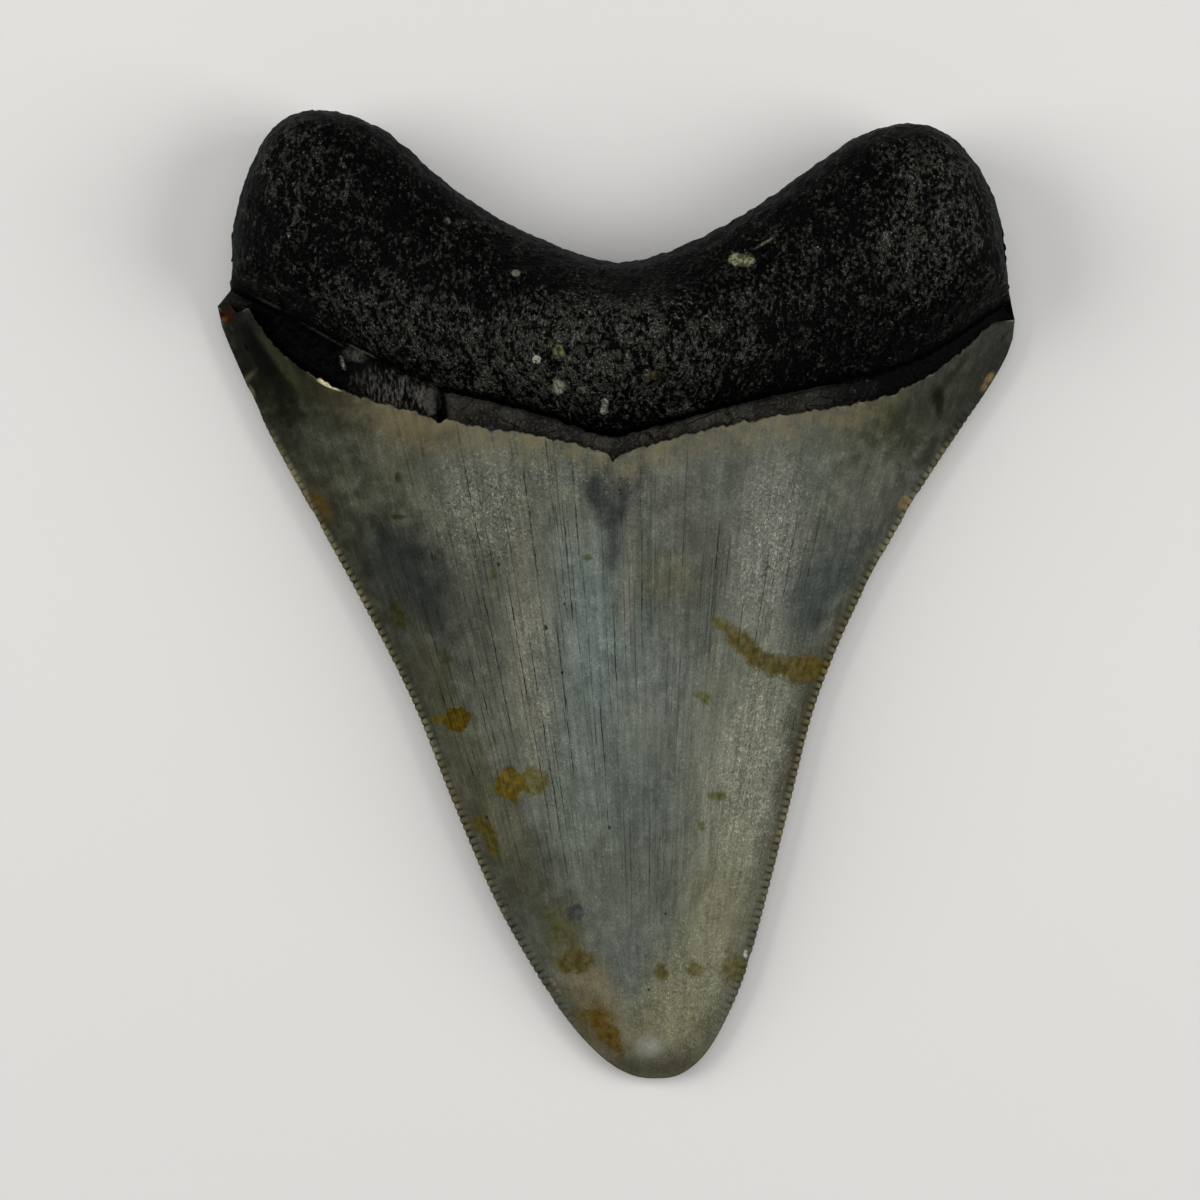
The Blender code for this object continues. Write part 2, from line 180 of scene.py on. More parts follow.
class Guide:
    """A smooth line through a few points, read by its share of length."""

    STEPS = 10

    def __init__(self, knots):
        knots = [Vector(point) for point in knots]
        padded = [2.0 * knots[0] - knots[1]] + knots + [2.0 * knots[-1] - knots[-2]]
        self.points = []
        for a, b, c, d in zip(padded, padded[1:], padded[2:], padded[3:]):
            for step in range(self.STEPS):
                t = step / self.STEPS
                self.points.append(0.5 * (
                    2.0 * b + (c - a) * t
                    + (2.0 * a - 5.0 * b + 4.0 * c - d) * t ** 2
                    + (3.0 * b - a - 3.0 * c + d) * t ** 3))
        self.points.append(knots[-1])
        self.shares = [0.0]
        for start, end in zip(self.points, self.points[1:]):
            self.shares.append(self.shares[-1] + (end - start).length)
        self.shares = [length / self.shares[-1] for length in self.shares]

    def at(self, share):
        """The point at a share of the line's length."""
        index = min(max(bisect.bisect_right(self.shares, share), 1), len(self.shares) - 1)
        low, high = self.shares[index - 1], self.shares[index]
        part = min(max((share - low) / (high - low), 0.0), 1.0)
        return self.points[index - 1].lerp(self.points[index], part)


rim = Guide(ROOT_RIM)
edge = Guide(CUTTING_EDGE)
lingual_lines = (Guide(CREASE), Guide(ENAMEL_MARGIN))
labial_lines = (Guide(LABIAL_CREASE), Guide(LABIAL_MARGIN))

# The crown's left and right sides, both from the tip up.
TIP = min(edge.points, key=lambda point: point.y)
left_edge = [p for p in edge.points if p.x <= TIP.x][::-1] + [Vector(ENAMEL_MARGIN[0])]
right_edge = [p for p in edge.points if p.x >= TIP.x] + [Vector(ENAMEL_MARGIN[-1])]
left_ys, left_xs = [p.y for p in left_edge], [p.x for p in left_edge]
right_ys, right_xs = [p.y for p in right_edge], [p.x for p in right_edge]

# The whole outline, as points close together that insets are measured from.
OUTLINE_SPACING = 0.08
right_shoulder = [edge.points[-1], Vector(ENAMEL_MARGIN[-1]), Vector(CREASE[-1])]
left_shoulder = [Vector(CREASE[0]), Vector(ENAMEL_MARGIN[0]), edge.points[0]]
outline_loop = right_shoulder + rim.points[::-1] + left_shoulder + edge.points
outline_points = []
for start, end in zip(outline_loop, outline_loop[1:]):
    pieces = max(1, math.ceil((end - start).length / OUTLINE_SPACING))
    outline_points += [start.lerp(end, piece / pieces).to_3d() for piece in range(pieces)]
outline = kdtree.KDTree(len(outline_points))
for number, point in enumerate(outline_points):
    outline.insert(point, number)
outline.balance()


def across_crown(x, y):
    """-1 at the left cutting edge, 0 midway and 1 at the right edge."""
    left = read_off(left_ys, left_xs, y)
    right = read_off(right_ys, right_xs, y)
    half = max((right - left) / 2.0, 0.05)
    return min(max((x - (left + right) / 2.0) / half, -1.0), 1.0)


def outline_height(x, y):
    """Height of the line where the two faces meet."""
    crown = EDGE_HEIGHT - 0.4 * smooth_step(-20.0, -48.0, y)
    notch = hill(x, 0.0, (0.0, 0.0), (15.0, 1.0))
    root = mix(RIM_HEIGHT_AT_LOBES, RIM_HEIGHT_AT_NOTCH, notch)
    return mix(crown, root, smooth_step(28.0, 33.0, y))


def crown_lingual(x, y):
    """The crown's rounded inner face, carried on a little under the root."""
    across = abs(across_crown(x, y))
    dome = NECK_DOME * (1.0 - math.exp(-(y - TIP.y) / 26.0)) ** 0.9
    dome *= 1.0 + 0.12 * smooth_step(-8.0, 16.0, y)
    swell = dome * (1.0 - across ** 2.2)
    furrow = 0.45 * hill(x, y, (0.0, 7.0), (1.5, 7.0))
    return outline_height(x, min(y, 27.0)) + swell - furrow


def root_lingual(x, y):
    """The root's swollen inner face, before its rim is rounded."""
    swell = (ROOT_PEAK - LOBE_HEIGHT) * hill(x, y, (0.0, 24.0), (18.0, 10.5))
    lobes = LOBE_HEIGHT - 0.6 * hill(x, y, (-33.0, 44.0), (9.0, 9.0))
    lobes += 0.5 * hill(x, y, (26.0, 39.0), (10.0, 7.0))
    hollow = 0.9 * hill(x, y, (22.0, 23.5), (11.0, 2.6))
    return swell + lobes - hollow + 0.45 * rough(x, y, 0.0, 5.0)


def band_lingual(x, y, share):
    """The neck ribbon, its broken left end and the bare hollow beside it."""
    neck = crown_lingual(x, y)
    ribbon = 1.0 - abs(2.0 * share - 1.0) ** 6.0
    slot_at = -17.4 + 0.12 * (20.0 - y)
    slot = 1.0 - smooth_step(0.35, 0.75, abs(x - slot_at))
    kept = smooth_step(slot_at, slot_at + 0.5, x) * (1.0 - smooth_step(22.0, 28.0, x))
    stump = smooth_step(-26.5, -24.5, x) * smooth_step(slot_at, slot_at - 0.5, x)
    flaked = 1.0 - smooth_step(-28.0, -25.0, x)
    smooth_part = kept * (0.70 + 0.26 * rough(x, y, 4.0, 1.9)) * ribbon
    stump_part = stump * (0.60 + 0.30 * rough(x, 0.3 * y, 5.0, 0.8)) * ribbon
    chips = 1.7 + 0.6 * rough(x, y, 6.0, 1.4) + 0.4 * rough(x, y, 7.0, 0.6)
    return neck + smooth_part + stump_part - flaked * chips * ribbon - 1.6 * slot * ribbon


def rounded_in(inset, radius):
    """Share of the full height at an inset from a rim rounded to a radius."""
    return math.sqrt(1.0 - (1.0 - min(inset / radius, 1.0)) ** 2)


def lingual_height(x, y, zone, share, inset, below):
    """Height of the upper face at a place, given its zone and its insets."""
    base = outline_height(x, y)
    settled = smooth_step(0.0, 2.0, inset)
    if zone == "crown":
        lip = 0.30 * smooth_step(0.0, 0.12, below) * (1.0 - smooth_step(0.8, 9.0, below))
        return crown_lingual(x, y) + lip * smooth_step(0.0, 3.0, inset)
    if zone == "band":
        return mix(base, band_lingual(x, y, share), settled)
    full = mix(base, root_lingual(x, y), rounded_in(inset, RIM_ROUND_ABOVE))
    neck = mix(base, band_lingual(x, y, 0.0) - 0.2, settled)
    height = mix(full, neck, max(share / ROOT_SHOULDER - 1.0, 0.0) ** 2.2)
    crease = 1.0 - 0.5 * smooth_step(0.0, 8.0, abs(x + 10.0) - 8.0)
    return height - crease * math.exp(-(below / 0.40) ** 2) * settled


def labial_height(x, y, zone, share, inset, below):
    """Height of the lower face, which has real flats that touch the floor."""
    base = outline_height(x, y)
    across = abs(across_crown(x, y))
    flank = max((across - 0.34) / 0.66, 0.0) ** 2.0
    tip_rise = 0.9 * smooth_step(-30.0, -48.0, y)
    crown = mix(min(tip_rise, 0.8 * base), base, flank)
    hollow = 1.9 * max(hill(x, y, (0.0, 30.0), (13.0, 9.5)) - 0.03, 0.0)
    if zone == "crown":
        return crown + hollow * (1.0 - flank)
    bosses = hill(abs(x), y, (27.0, 38.0), (9.0, 6.5))
    root = 0.55 * (1.0 - min(1.25 * bosses, 1.0)) + hollow
    full = mix(base, root, rounded_in(inset, RIM_ROUND_BELOW))
    neck = mix(crown, base, 1.0 - smooth_step(0.0, 2.0, inset)) + hollow * (1.0 - flank)
    step = 0.35 * smooth_step(0.0, 2.5, inset)
    if zone == "band":
        return neck + step * (1.0 - share)
    return mix(full, neck + step, smooth_step(0.62, 1.0, share))


def root_share(row):
    """How far down the root a row lies, with rows crowded round the rim."""
    turn, straight = 0.4, 0.32
    down = row / ROOT_ROWS
    if down < turn:
        return straight * (1.0 - math.cos(down / turn * math.pi / 2.0))
    return mix(straight, 1.0, 1.0 - (1.0 - (down - turn) / (1.0 - turn)) ** 1.6)


def jag(u, seed):
    """How far a broken enamel margin strays from its guide line."""
    ragged = 0.30 * rough(u * 90.0, 0.0, seed, 1.2) + 0.22 * rough(u * 90.0, 0.0, seed + 5.0, 0.45)
    return ragged * smooth_step(0.0, 0.06, min(u, 1.0 - u))


def into_crown(u):
    """The direction into the crown, square to the cutting edge."""
    run = edge.at(min(u + EDGE_STEP, 1.0)) - edge.at(max(u - EDGE_STEP, 0.0))
    return Vector((-run.y, run.x)).normalized()


def place(u, row, lines):
    """A grid point seen from above, with its zone, share and depth past the margin."""
    crease = lines[0].at(u) + Vector((0.0, 0.7 * jag(u, 11.0)))
    margin = lines[1].at(u) + Vector((0.0, jag(u, 3.0)))
    if row <= BAND_START:
        share = root_share(row)
        top = rim.at(u)
        return top.lerp(crease, share), "root", share, (1.0 - share) * (crease - top).length
    if row < MARGIN:
        share = (row - BAND_START) / BAND_ROWS
        return crease.lerp(margin, share), "band", share, 0.0
    foot = edge.at(u)
    along = (foot - margin).normalized()
    inward = (-along).lerp(into_crown(u), smooth_step(0.0, 0.03, min(u, 1.0 - u))).normalized()
    if row <= LIP_END:
        below = read_off(range(LIP_ROWS + 1), LIP_DEPTHS, row - MARGIN)
        return margin + along * below, "crown", 0.0, below
    if row >= STRIP_START:
        inset = read_off(range(STRIP_ROWS + 1), STRIP_INSETS, row - STRIP_START)
        at = foot + inward * inset
        return at, "crown", 1.0, (at - margin).length
    top = margin + along * LIP_DEPTHS[-1]
    at = top.lerp(foot + inward * STRIP_INSETS[0], (row - LIP_END) / BODY_ROWS)
    return at, "crown", 0.5, (at - margin).length


def serration(u, at):
    """1 in the grooves between serrations and 0 on their crests, where kept."""
    number = math.floor(u * SERRATIONS + 0.5)
    valley = (0.5 + 0.5 * math.cos(2.0 * math.pi * u * SERRATIONS)) ** 3.0
    kept = smooth_step(TIP.y + 3.0, TIP.y + 10.0, at.y)
    worn = WORN_RIGHT if at.x > 0.0 else WORN_LEFT
    kept *= 1.0 - worn * smooth_step(0.0, 10.0, at.y)
    kept *= 1.0 - smooth_step(17.0, 23.0, at.y)
    return valley * kept * (0.75 + 0.5 * rough(number * 1.7, 0.0, 2.0, 1.0))


def notched(at, u, groove):
    """A point on the cutting edge, pulled in for its serration and any nick."""
    depth = NOTCH_DEPTH * groove
    for centre, radius, nick in EDGE_NICKS:
        depth += nick * hill(at.x, at.y, centre, (radius, radius))
    return at + depth * into_crown(u)


# The ribbon covers the neck from the slot at its broken left end to where it
# fades out on the right.
ROOT, BAND, ENAMEL = range(3)
SLOT_X = -17.1
RIBBON_END_X = 26.0


def finish_of(row, at, upper):
    """Which of the three finishes a face of the grid has."""
    if row > MARGIN:
        return ENAMEL
    if row < BAND_START:
        return ROOT
    return BAND if not upper or SLOT_X < at.x < RIBBON_END_X else ROOT


def bent_face(name, lines, height, upper):
    """One face of the tooth, as a grid bent to shape, on a mesh of its own."""
    grid = bmesh.new()
    bmesh.ops.create_grid(grid, x_segments=SERRATIONS, y_segments=ROWS, size=0.5)
    lip_y = 0.5 - LIP_END / ROWS
    strip_y = 0.5 - STRIP_START / ROWS
    near = 0.25 / ROWS
    fine = [e for e in grid.edges if all(vert.co.y > lip_y - near for vert in e.verts)]
    bmesh.ops.subdivide_edges(grid, edges=fine, cuts=1, use_grid_fill=True)
    strip = [
        e for e in grid.edges
        if all(vert.co.y < strip_y + near for vert in e.verts)
        and abs(e.verts[0].co.y - e.verts[1].co.y) < near]
    bmesh.ops.subdivide_edges(grid, edges=strip, cuts=3, use_grid_fill=True)

    for face in grid.faces:
        middle = face.calc_center_median()
        row = (0.5 - middle.y) * ROWS
        face.material_index = finish_of(row, place(middle.x + 0.5, row, lines)[0], upper)
        face.smooth = True

    layers = grid.verts.layers.float
    inset_layer, below_layer = layers.new("inset"), layers.new("below_margin")
    groove_layer, upper_layer = layers.new("groove"), layers.new("upper")
    bone_layer = layers.new("bone")
    for vert in grid.verts:
        u = vert.co.x + 0.5
        row = round((0.5 - vert.co.y) * ROWS, 3)
        at, zone, share, below = place(u, row, lines)
        inset = outline.find(at.to_3d())[2]
        groove = serration(u, at) if row >= STRIP_START else 0.0
        if row in (0, ROWS) or u < 1e-5 or u > 1.0 - 1e-5:
            inset = 0.0
            z = outline_height(at.x, at.y)
        else:
            z = height(at.x, at.y, zone, share, inset, below)
            side = 1.0 if upper else -0.5
            near_edge = smooth_step(1.2, 0.3, inset) * smooth_step(0.0, 0.3, inset)
            z -= side * GROOVE_DEPTH * groove * near_edge
        if row == ROWS:
            at = notched(at, u, groove)
        vert[inset_layer] = inset
        vert[below_layer] = below if zone == "crown" else -below
        vert[groove_layer] = groove * smooth_step(1.25, 0.4, inset)
        vert[upper_layer] = 1.0 if upper else 0.0
        vert[bone_layer] = smooth_step(0.0, 0.6, below) if zone == "root" else 0.0
        vert.co = (at.x, at.y, z)
    if not upper:
        bmesh.ops.reverse_faces(grid, faces=grid.faces)
    mesh = bpy.data.meshes.new(name)
    grid.to_mesh(mesh)
    grid.free()
    return mesh


# The two faces share their outline's points, and are welded there.
WELD_DISTANCE = 0.0005
body = bmesh.new()
body.from_mesh(bent_face("lingual_face", lingual_lines, lingual_height, True))
body.from_mesh(bent_face("labial_face", labial_lines, labial_height, False))
bmesh.ops.remove_doubles(body, verts=body.verts, dist=WELD_DISTANCE)
bmesh.ops.triangulate(body, faces=[face for face in body.faces if len(face.verts) > 4])
bmesh.ops.recalc_face_normals(body, faces=body.faces)

# The root's bone is grained, so its surface is worked along its own normals:
# lumps and grains stand up and pits go down, from a surface let down a little.
LUMP_SIZE = 1.5
LUMP_HEIGHT = 0.16
GRAIN_SIZE = 0.62
GRAIN_HEIGHT = 0.14
LET_DOWN = 0.08
body.normal_update()
bone_layer = body.verts.layers.float["bone"]
relief_layer = body.verts.layers.float.new("relief")
for vert in body.verts:
    spot = vert.co.copy()
    spot.y *= 0.7
    coarse = noise.noise(spot / LUMP_SIZE + Vector((0.0, 0.0, 7.0)))
    fine = noise.noise(spot / GRAIN_SIZE)
    vert[relief_layer] = 0.6 * coarse + 0.9 * fine
    raised = LUMP_HEIGHT * coarse + GRAIN_HEIGHT * fine - LET_DOWN
    vert.co += vert.normal * raised * vert[bone_layer]
    vert.co.z = max(vert.co.z, 0.0)

# It is centred on the origin, with its lowest point on the floor.
low = Vector([min(v.co[axis] for v in body.verts) for axis in range(3)])
high = Vector([max(v.co[axis] for v in body.verts) for axis in range(3)])
middle = (low + high) / 2.0
bmesh.ops.translate(body, verts=body.verts, vec=(-middle.x, -middle.y, -low.z))
bmesh.ops.transform(body, verts=body.verts, matrix=Matrix.Scale(METRES, 4))

tooth_mesh = bpy.data.meshes.new("tooth_surface")
body.to_mesh(tooth_mesh)
body.free()
tooth = bpy.data.objects.new("tooth_surface", tooth_mesh)
bpy.context.scene.collection.objects.link(tooth)
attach(tooth, "root")
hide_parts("tooth")

# The tooth's finishes. Enamel is polished and grey to cream, hair cracked
# lengthwise and stained by the riverbed. The neck ribbon is satin dark grey, and
# the root's bone is black, rough and speckled. Some shade and highlights are
# painted into these colours as well. Positions are in millimetres.

TO_MILLIMETRES = 1.0 / METRES


def tone(red, green, blue):
    """A colour picked in sRGB from 0 to 255, as the linear one that shaders take."""
    picked = [channel / 255.0 for channel in (red, green, blue)]
    return (*[((c + 0.055) / 1.055) ** 2.4 if c > 0.04045 else c / 12.92 for c in picked], 1.0)


def fill(tree, node, values):
    """Sets or links each named input of a node, and gives the node back."""
    for name, value in values.items():
        if isinstance(value, bpy.types.NodeSocket):
            tree.links.new(value, node.inputs[name])
        else:
            node.inputs[name].default_value = value
    return node


def add(tree, kind, values=None, **settings):
    """A new node with its settings, and with its inputs filled."""
    node = tree.nodes.new("ShaderNode" + kind)
    for name, value in settings.items():
        setattr(node, name, value)
    return fill(tree, node, values or {})


def calc(tree, operation, *values):
    """The result of a Math node on numbers or sockets."""
    return add(tree, "Math", dict(enumerate(values)), operation=operation).outputs[0]


def product(tree, *values):
    """All the values multiplied together."""
    total = values[0]
    for value in values[1:]:
        total = calc(tree, "MULTIPLY", total, value)
    return total


def centred(tree, value, amount=1.0):
    """Noise from 0 to 1 made to swing about 0, over an amount."""
    return calc(tree, "MULTIPLY", calc(tree, "SUBTRACT", value, 0.5), amount)


def vector_calc(tree, operation, *values):
    """The result of a Vector Math node on vectors or sockets."""
    return add(tree, "VectorMath", dict(enumerate(values)), operation=operation).outputs[0]


def vector(tree, x=0.0, y=0.0, z=0.0):
    """A vector made of numbers or sockets."""
    return add(tree, "CombineXYZ", {"X": x, "Y": y, "Z": z}).outputs[0]


def ramp(tree, value, low, high, start=0.0, end=1.0):
    """The value carried smoothly from low and high to start and end."""
    values = {"Value": value, "From Min": low, "From Max": high, "To Min": start, "To Max": end}
    return add(tree, "MapRange", values, interpolation_type="SMOOTHSTEP").outputs["Result"]


def blend(tree, share, base, colour):
    """Base with colour laid over it by its share."""
    return add(tree, "Mix", {0: share, 6: base, 7: colour}, data_type="RGBA").outputs[2]


def grey(tree, shade):
    """A shade around 1 as a grey, to darken or lighten colours with."""
    return add(tree, "CombineColor", {"Red": shade, "Green": shade, "Blue": shade}).outputs[0]


def multiplied(tree, colour, by):
    """A colour multiplied by another one."""
    values = {0: 1.0, 6: colour, 7: by}
    return add(tree, "Mix", values, data_type="RGBA", blend_type="MULTIPLY").outputs[2]


def mottle(tree, position, size, detail=2.0, roughness=0.5, distortion=0.0):
    """Noise from 0 to 1 with patches about size millimetres across."""
    values = {
        "Vector": position, "Scale": 1.0 / size, "Detail": detail,
        "Roughness": roughness, "Distortion": distortion}
    return add(tree, "TexNoise", values).outputs["Fac"]


def new_group(name, inputs, outputs):
    """An empty node group with named sockets, and its two end nodes."""
    group = bpy.data.node_groups.new(name, "ShaderNodeTree")
    for socket, kind in inputs.items():
        group.interface.new_socket(socket, in_out="INPUT", socket_type="NodeSocket" + kind)
    for socket, kind in outputs.items():
        group.interface.new_socket(socket, in_out="OUTPUT", socket_type="NodeSocket" + kind)
    return group, group.nodes.new("NodeGroupInput").outputs, group.nodes.new("NodeGroupOutput")


def build_patch_group():
    """An oval mark with a frayed outline."""
    group, given, result = new_group(
        "patch",
        {"Position": "Vector", "Centre": "Vector", "Half Size": "Vector", "Turn": "Float",
         "Softness": "Float", "Unevenness": "Float"},
        {"Mask": "Float"})
    offset = vector_calc(group, "SUBTRACT", given["Position"], given["Centre"])
    angle = calc(group, "MULTIPLY", given["Turn"], -1.0)
    turned = add(group, "VectorRotate", {"Vector": offset, "Angle": angle}, rotation_type="Z_AXIS")
    scaled = vector_calc(group, "DIVIDE", turned.outputs[0], given["Half Size"])
    reach = add(group, "VectorMath", {0: scaled}, operation="LENGTH").outputs["Value"]
    frayed = calc(group, "ADD", reach, given["Unevenness"])
    inner = calc(group, "SUBTRACT", 1.0, given["Softness"])
    outer = calc(group, "ADD", 1.0, given["Softness"])
    fill(group, result, {"Mask": ramp(group, frayed, outer, inner)})
    return group


# The middles of the cracks lie anywhere over this span, from the lowest one up.
CRACK_LOWEST = -44.0
CRACK_SPAN = 62.0


def build_crack_group():
    """Hair cracks, one to a strip of spacing, each with its own place and length."""
    group, given, result = new_group(
        "hair_cracks",
        {"Position": "Vector", "Spacing": "Float", "Width": "Float", "Reach": "Float",
         "Seed": "Float"},
        {"Mask": "Float"})
    parts = add(group, "SeparateXYZ", {"Vector": given["Position"]}).outputs
    strip = calc(group, "FLOOR", calc(group, "DIVIDE", parts["X"], given["Spacing"]))
    chance = add(
        group, "TexWhiteNoise", {"Vector": vector(group, strip, given["Seed"])},
        noise_dimensions="2D").outputs["Color"]
    chances = add(group, "SeparateXYZ", {"Vector": chance}).outputs
    sway = mottle(group, vector(group, calc(group, "MULTIPLY", strip, 7.3), parts["Y"]), 7.0, 2.0)
    shiver = mottle(group, vector(group, calc(group, "MULTIPLY", strip, 3.1), parts["Y"]), 0.9, 1.0)
    inside = calc(group, "MULTIPLY_ADD", chances["X"], 0.4, 0.1)
    inside = calc(group, "MULTIPLY_ADD", sway, 0.4, inside)
    inside = calc(group, "MULTIPLY_ADD", shiver, 0.14, inside)
    line = calc(group, "MULTIPLY", calc(group, "ADD", strip, inside), given["Spacing"])
    away = calc(group, "ABSOLUTE", calc(group, "SUBTRACT", parts["X"], line))
    breadth = calc(group, "MULTIPLY", given["Width"], ramp(group, shiver, 0.3, 0.7, 0.4, 1.3))
    drawn = ramp(group, calc(group, "DIVIDE", away, breadth), 1.0, 0.3)
    middle = calc(group, "MULTIPLY_ADD", chances["Y"], CRACK_SPAN, CRACK_LOWEST)
    part = calc(group, "MULTIPLY_ADD", chances["Z"], 0.9, 0.2)
    half = calc(group, "MULTIPLY", given["Reach"], part)
    past = calc(group, "ABSOLUTE", calc(group, "SUBTRACT", parts["Y"], middle))
    ends = ramp(group, calc(group, "DIVIDE", past, half), 1.0, 0.7)
    faint = mottle(group, vector(group, calc(group, "MULTIPLY", strip, 5.7), parts["Y"]), 2.4, 1.0)
    drawn = calc(group, "MULTIPLY", drawn, ramp(group, faint, 0.40, 0.56, 0.5, 1.0))
    fill(group, result, {"Mask": calc(group, "MULTIPLY", drawn, ends)})
    return group


def build_grain_group():
    """Rough bone: its colour from black pits to grey grains, and its height."""
    group, given, result = new_group(
        "grained_bone",
        {"Position": "Vector", "Relief": "Float", "Brightness": "Float"},
        {"Color": "Color", "Height": "Float"})
    drawn = vector_calc(group, "MULTIPLY", given["Position"], (1.0, 0.7, 1.0))
    grain = mottle(group, drawn, 0.37, 2.0, 0.6, 0.4)
    lump = mottle(group, drawn, 1.5, 2.0, 0.6)
    raised = calc(group, "ADD", centred(group, lump, 0.45), grain)
    raised = calc(group, "MULTIPLY_ADD", given["Relief"], 0.10, raised)
    level = calc(group, "MULTIPLY_ADD", given["Brightness"], 0.17, raised)
    strength = calc(group, "MULTIPLY_ADD", given["Brightness"], 0.6, 0.35)
    lit = calc(group, "MULTIPLY", ramp(group, level, 0.53, 0.67), strength)
    colour = blend(group, lit, tone(0, 0, 0), tone(38, 39, 33))
    curl = centred(group, mottle(group, drawn, 0.46, 1.0, 0.5, 1.2))
    curl = ramp(group, calc(group, "ABSOLUTE", curl), 0.036, 0.010)
    curl = product(group, curl, ramp(group, level, 0.58, 0.72), strength)
    colour = blend(group, curl, colour, tone(96, 99, 89))
    glints = ramp(group, mottle(group, given["Position"], 0.22, 1.0), 0.70, 0.78)
    glints = calc(group, "MULTIPLY", glints, ramp(group, level, 0.56, 0.66))
    colour = blend(group, glints, colour, tone(112, 114, 104))
    fill(group, result, {"Color": colour, "Height": raised})
    return group


patch_group = build_patch_group()
crack_group = build_crack_group()
grain_group = build_grain_group()


def grouped(tree, group, values):
    """A group placed in a material with its own values."""
    return fill(tree, add(tree, "Group", node_tree=group), values).outputs


def masks_of(tree, position, marks, uneven, share=None):
    """A mask for each oval mark of a list, by its strength and any share."""
    masks = []
    for centre, half_size, turn, softness, strength, *_ in marks:
        mark = grouped(tree, patch_group, {
            "Position": position, "Centre": (*centre, 0.0), "Half Size": (*half_size, 1.0),
            "Turn": math.radians(turn), "Softness": softness, "Unevenness": uneven})
        mask = calc(tree, "MULTIPLY", mark["Mask"], strength)
        masks.append(calc(tree, "MULTIPLY", mask, share) if share else mask)
    return masks


def paint(tree, base, masks, marks):
    """Base with each mark's colour laid over it."""
    for mask, mark in zip(masks, marks):
        base = blend(tree, mask, base, tone(*mark[-1]))
    return base


def highest(tree, masks):
    """One mask over all of a list."""
    total = masks[0]
    for mask in masks[1:]:
        total = calc(tree, "MAXIMUM", total, mask)
    return total


def attribute(tree, name):
    """A value that the mesh carries at each point."""
    return add(tree, "Attribute", attribute_name=name, attribute_type="GEOMETRY").outputs["Fac"]


def started(name, roughness, specular):
    """A new material, with its shader and its place in millimetres."""
    material = bpy.data.materials.new(name)
    material.use_nodes = True
    tree = material.node_tree
    shader = tree.nodes["Principled BSDF"]
    shader.inputs["Roughness"].default_value = roughness
    shader.inputs["Specular IOR Level"].default_value = specular
    where = add(tree, "TexCoord").outputs["Object"]
    position = vector_calc(tree, "MULTIPLY", where, (TO_MILLIMETRES,) * 3)
    return material, tree, shader, position


def laid_flat(tree, position):
    """The place seen from above, which the marks are set by."""
    return vector_calc(tree, "MULTIPLY", position, (1.0, 1.0, 0.0))


def bumped(tree, shader, height, millimetres):
    """Sets the shader's normal from a height whose full range is a depth."""
    bump = add(tree, "Bump", {"Height": height, "Distance": millimetres * METRES})
    tree.links.new(bump.outputs["Normal"], shader.inputs["Normal"])


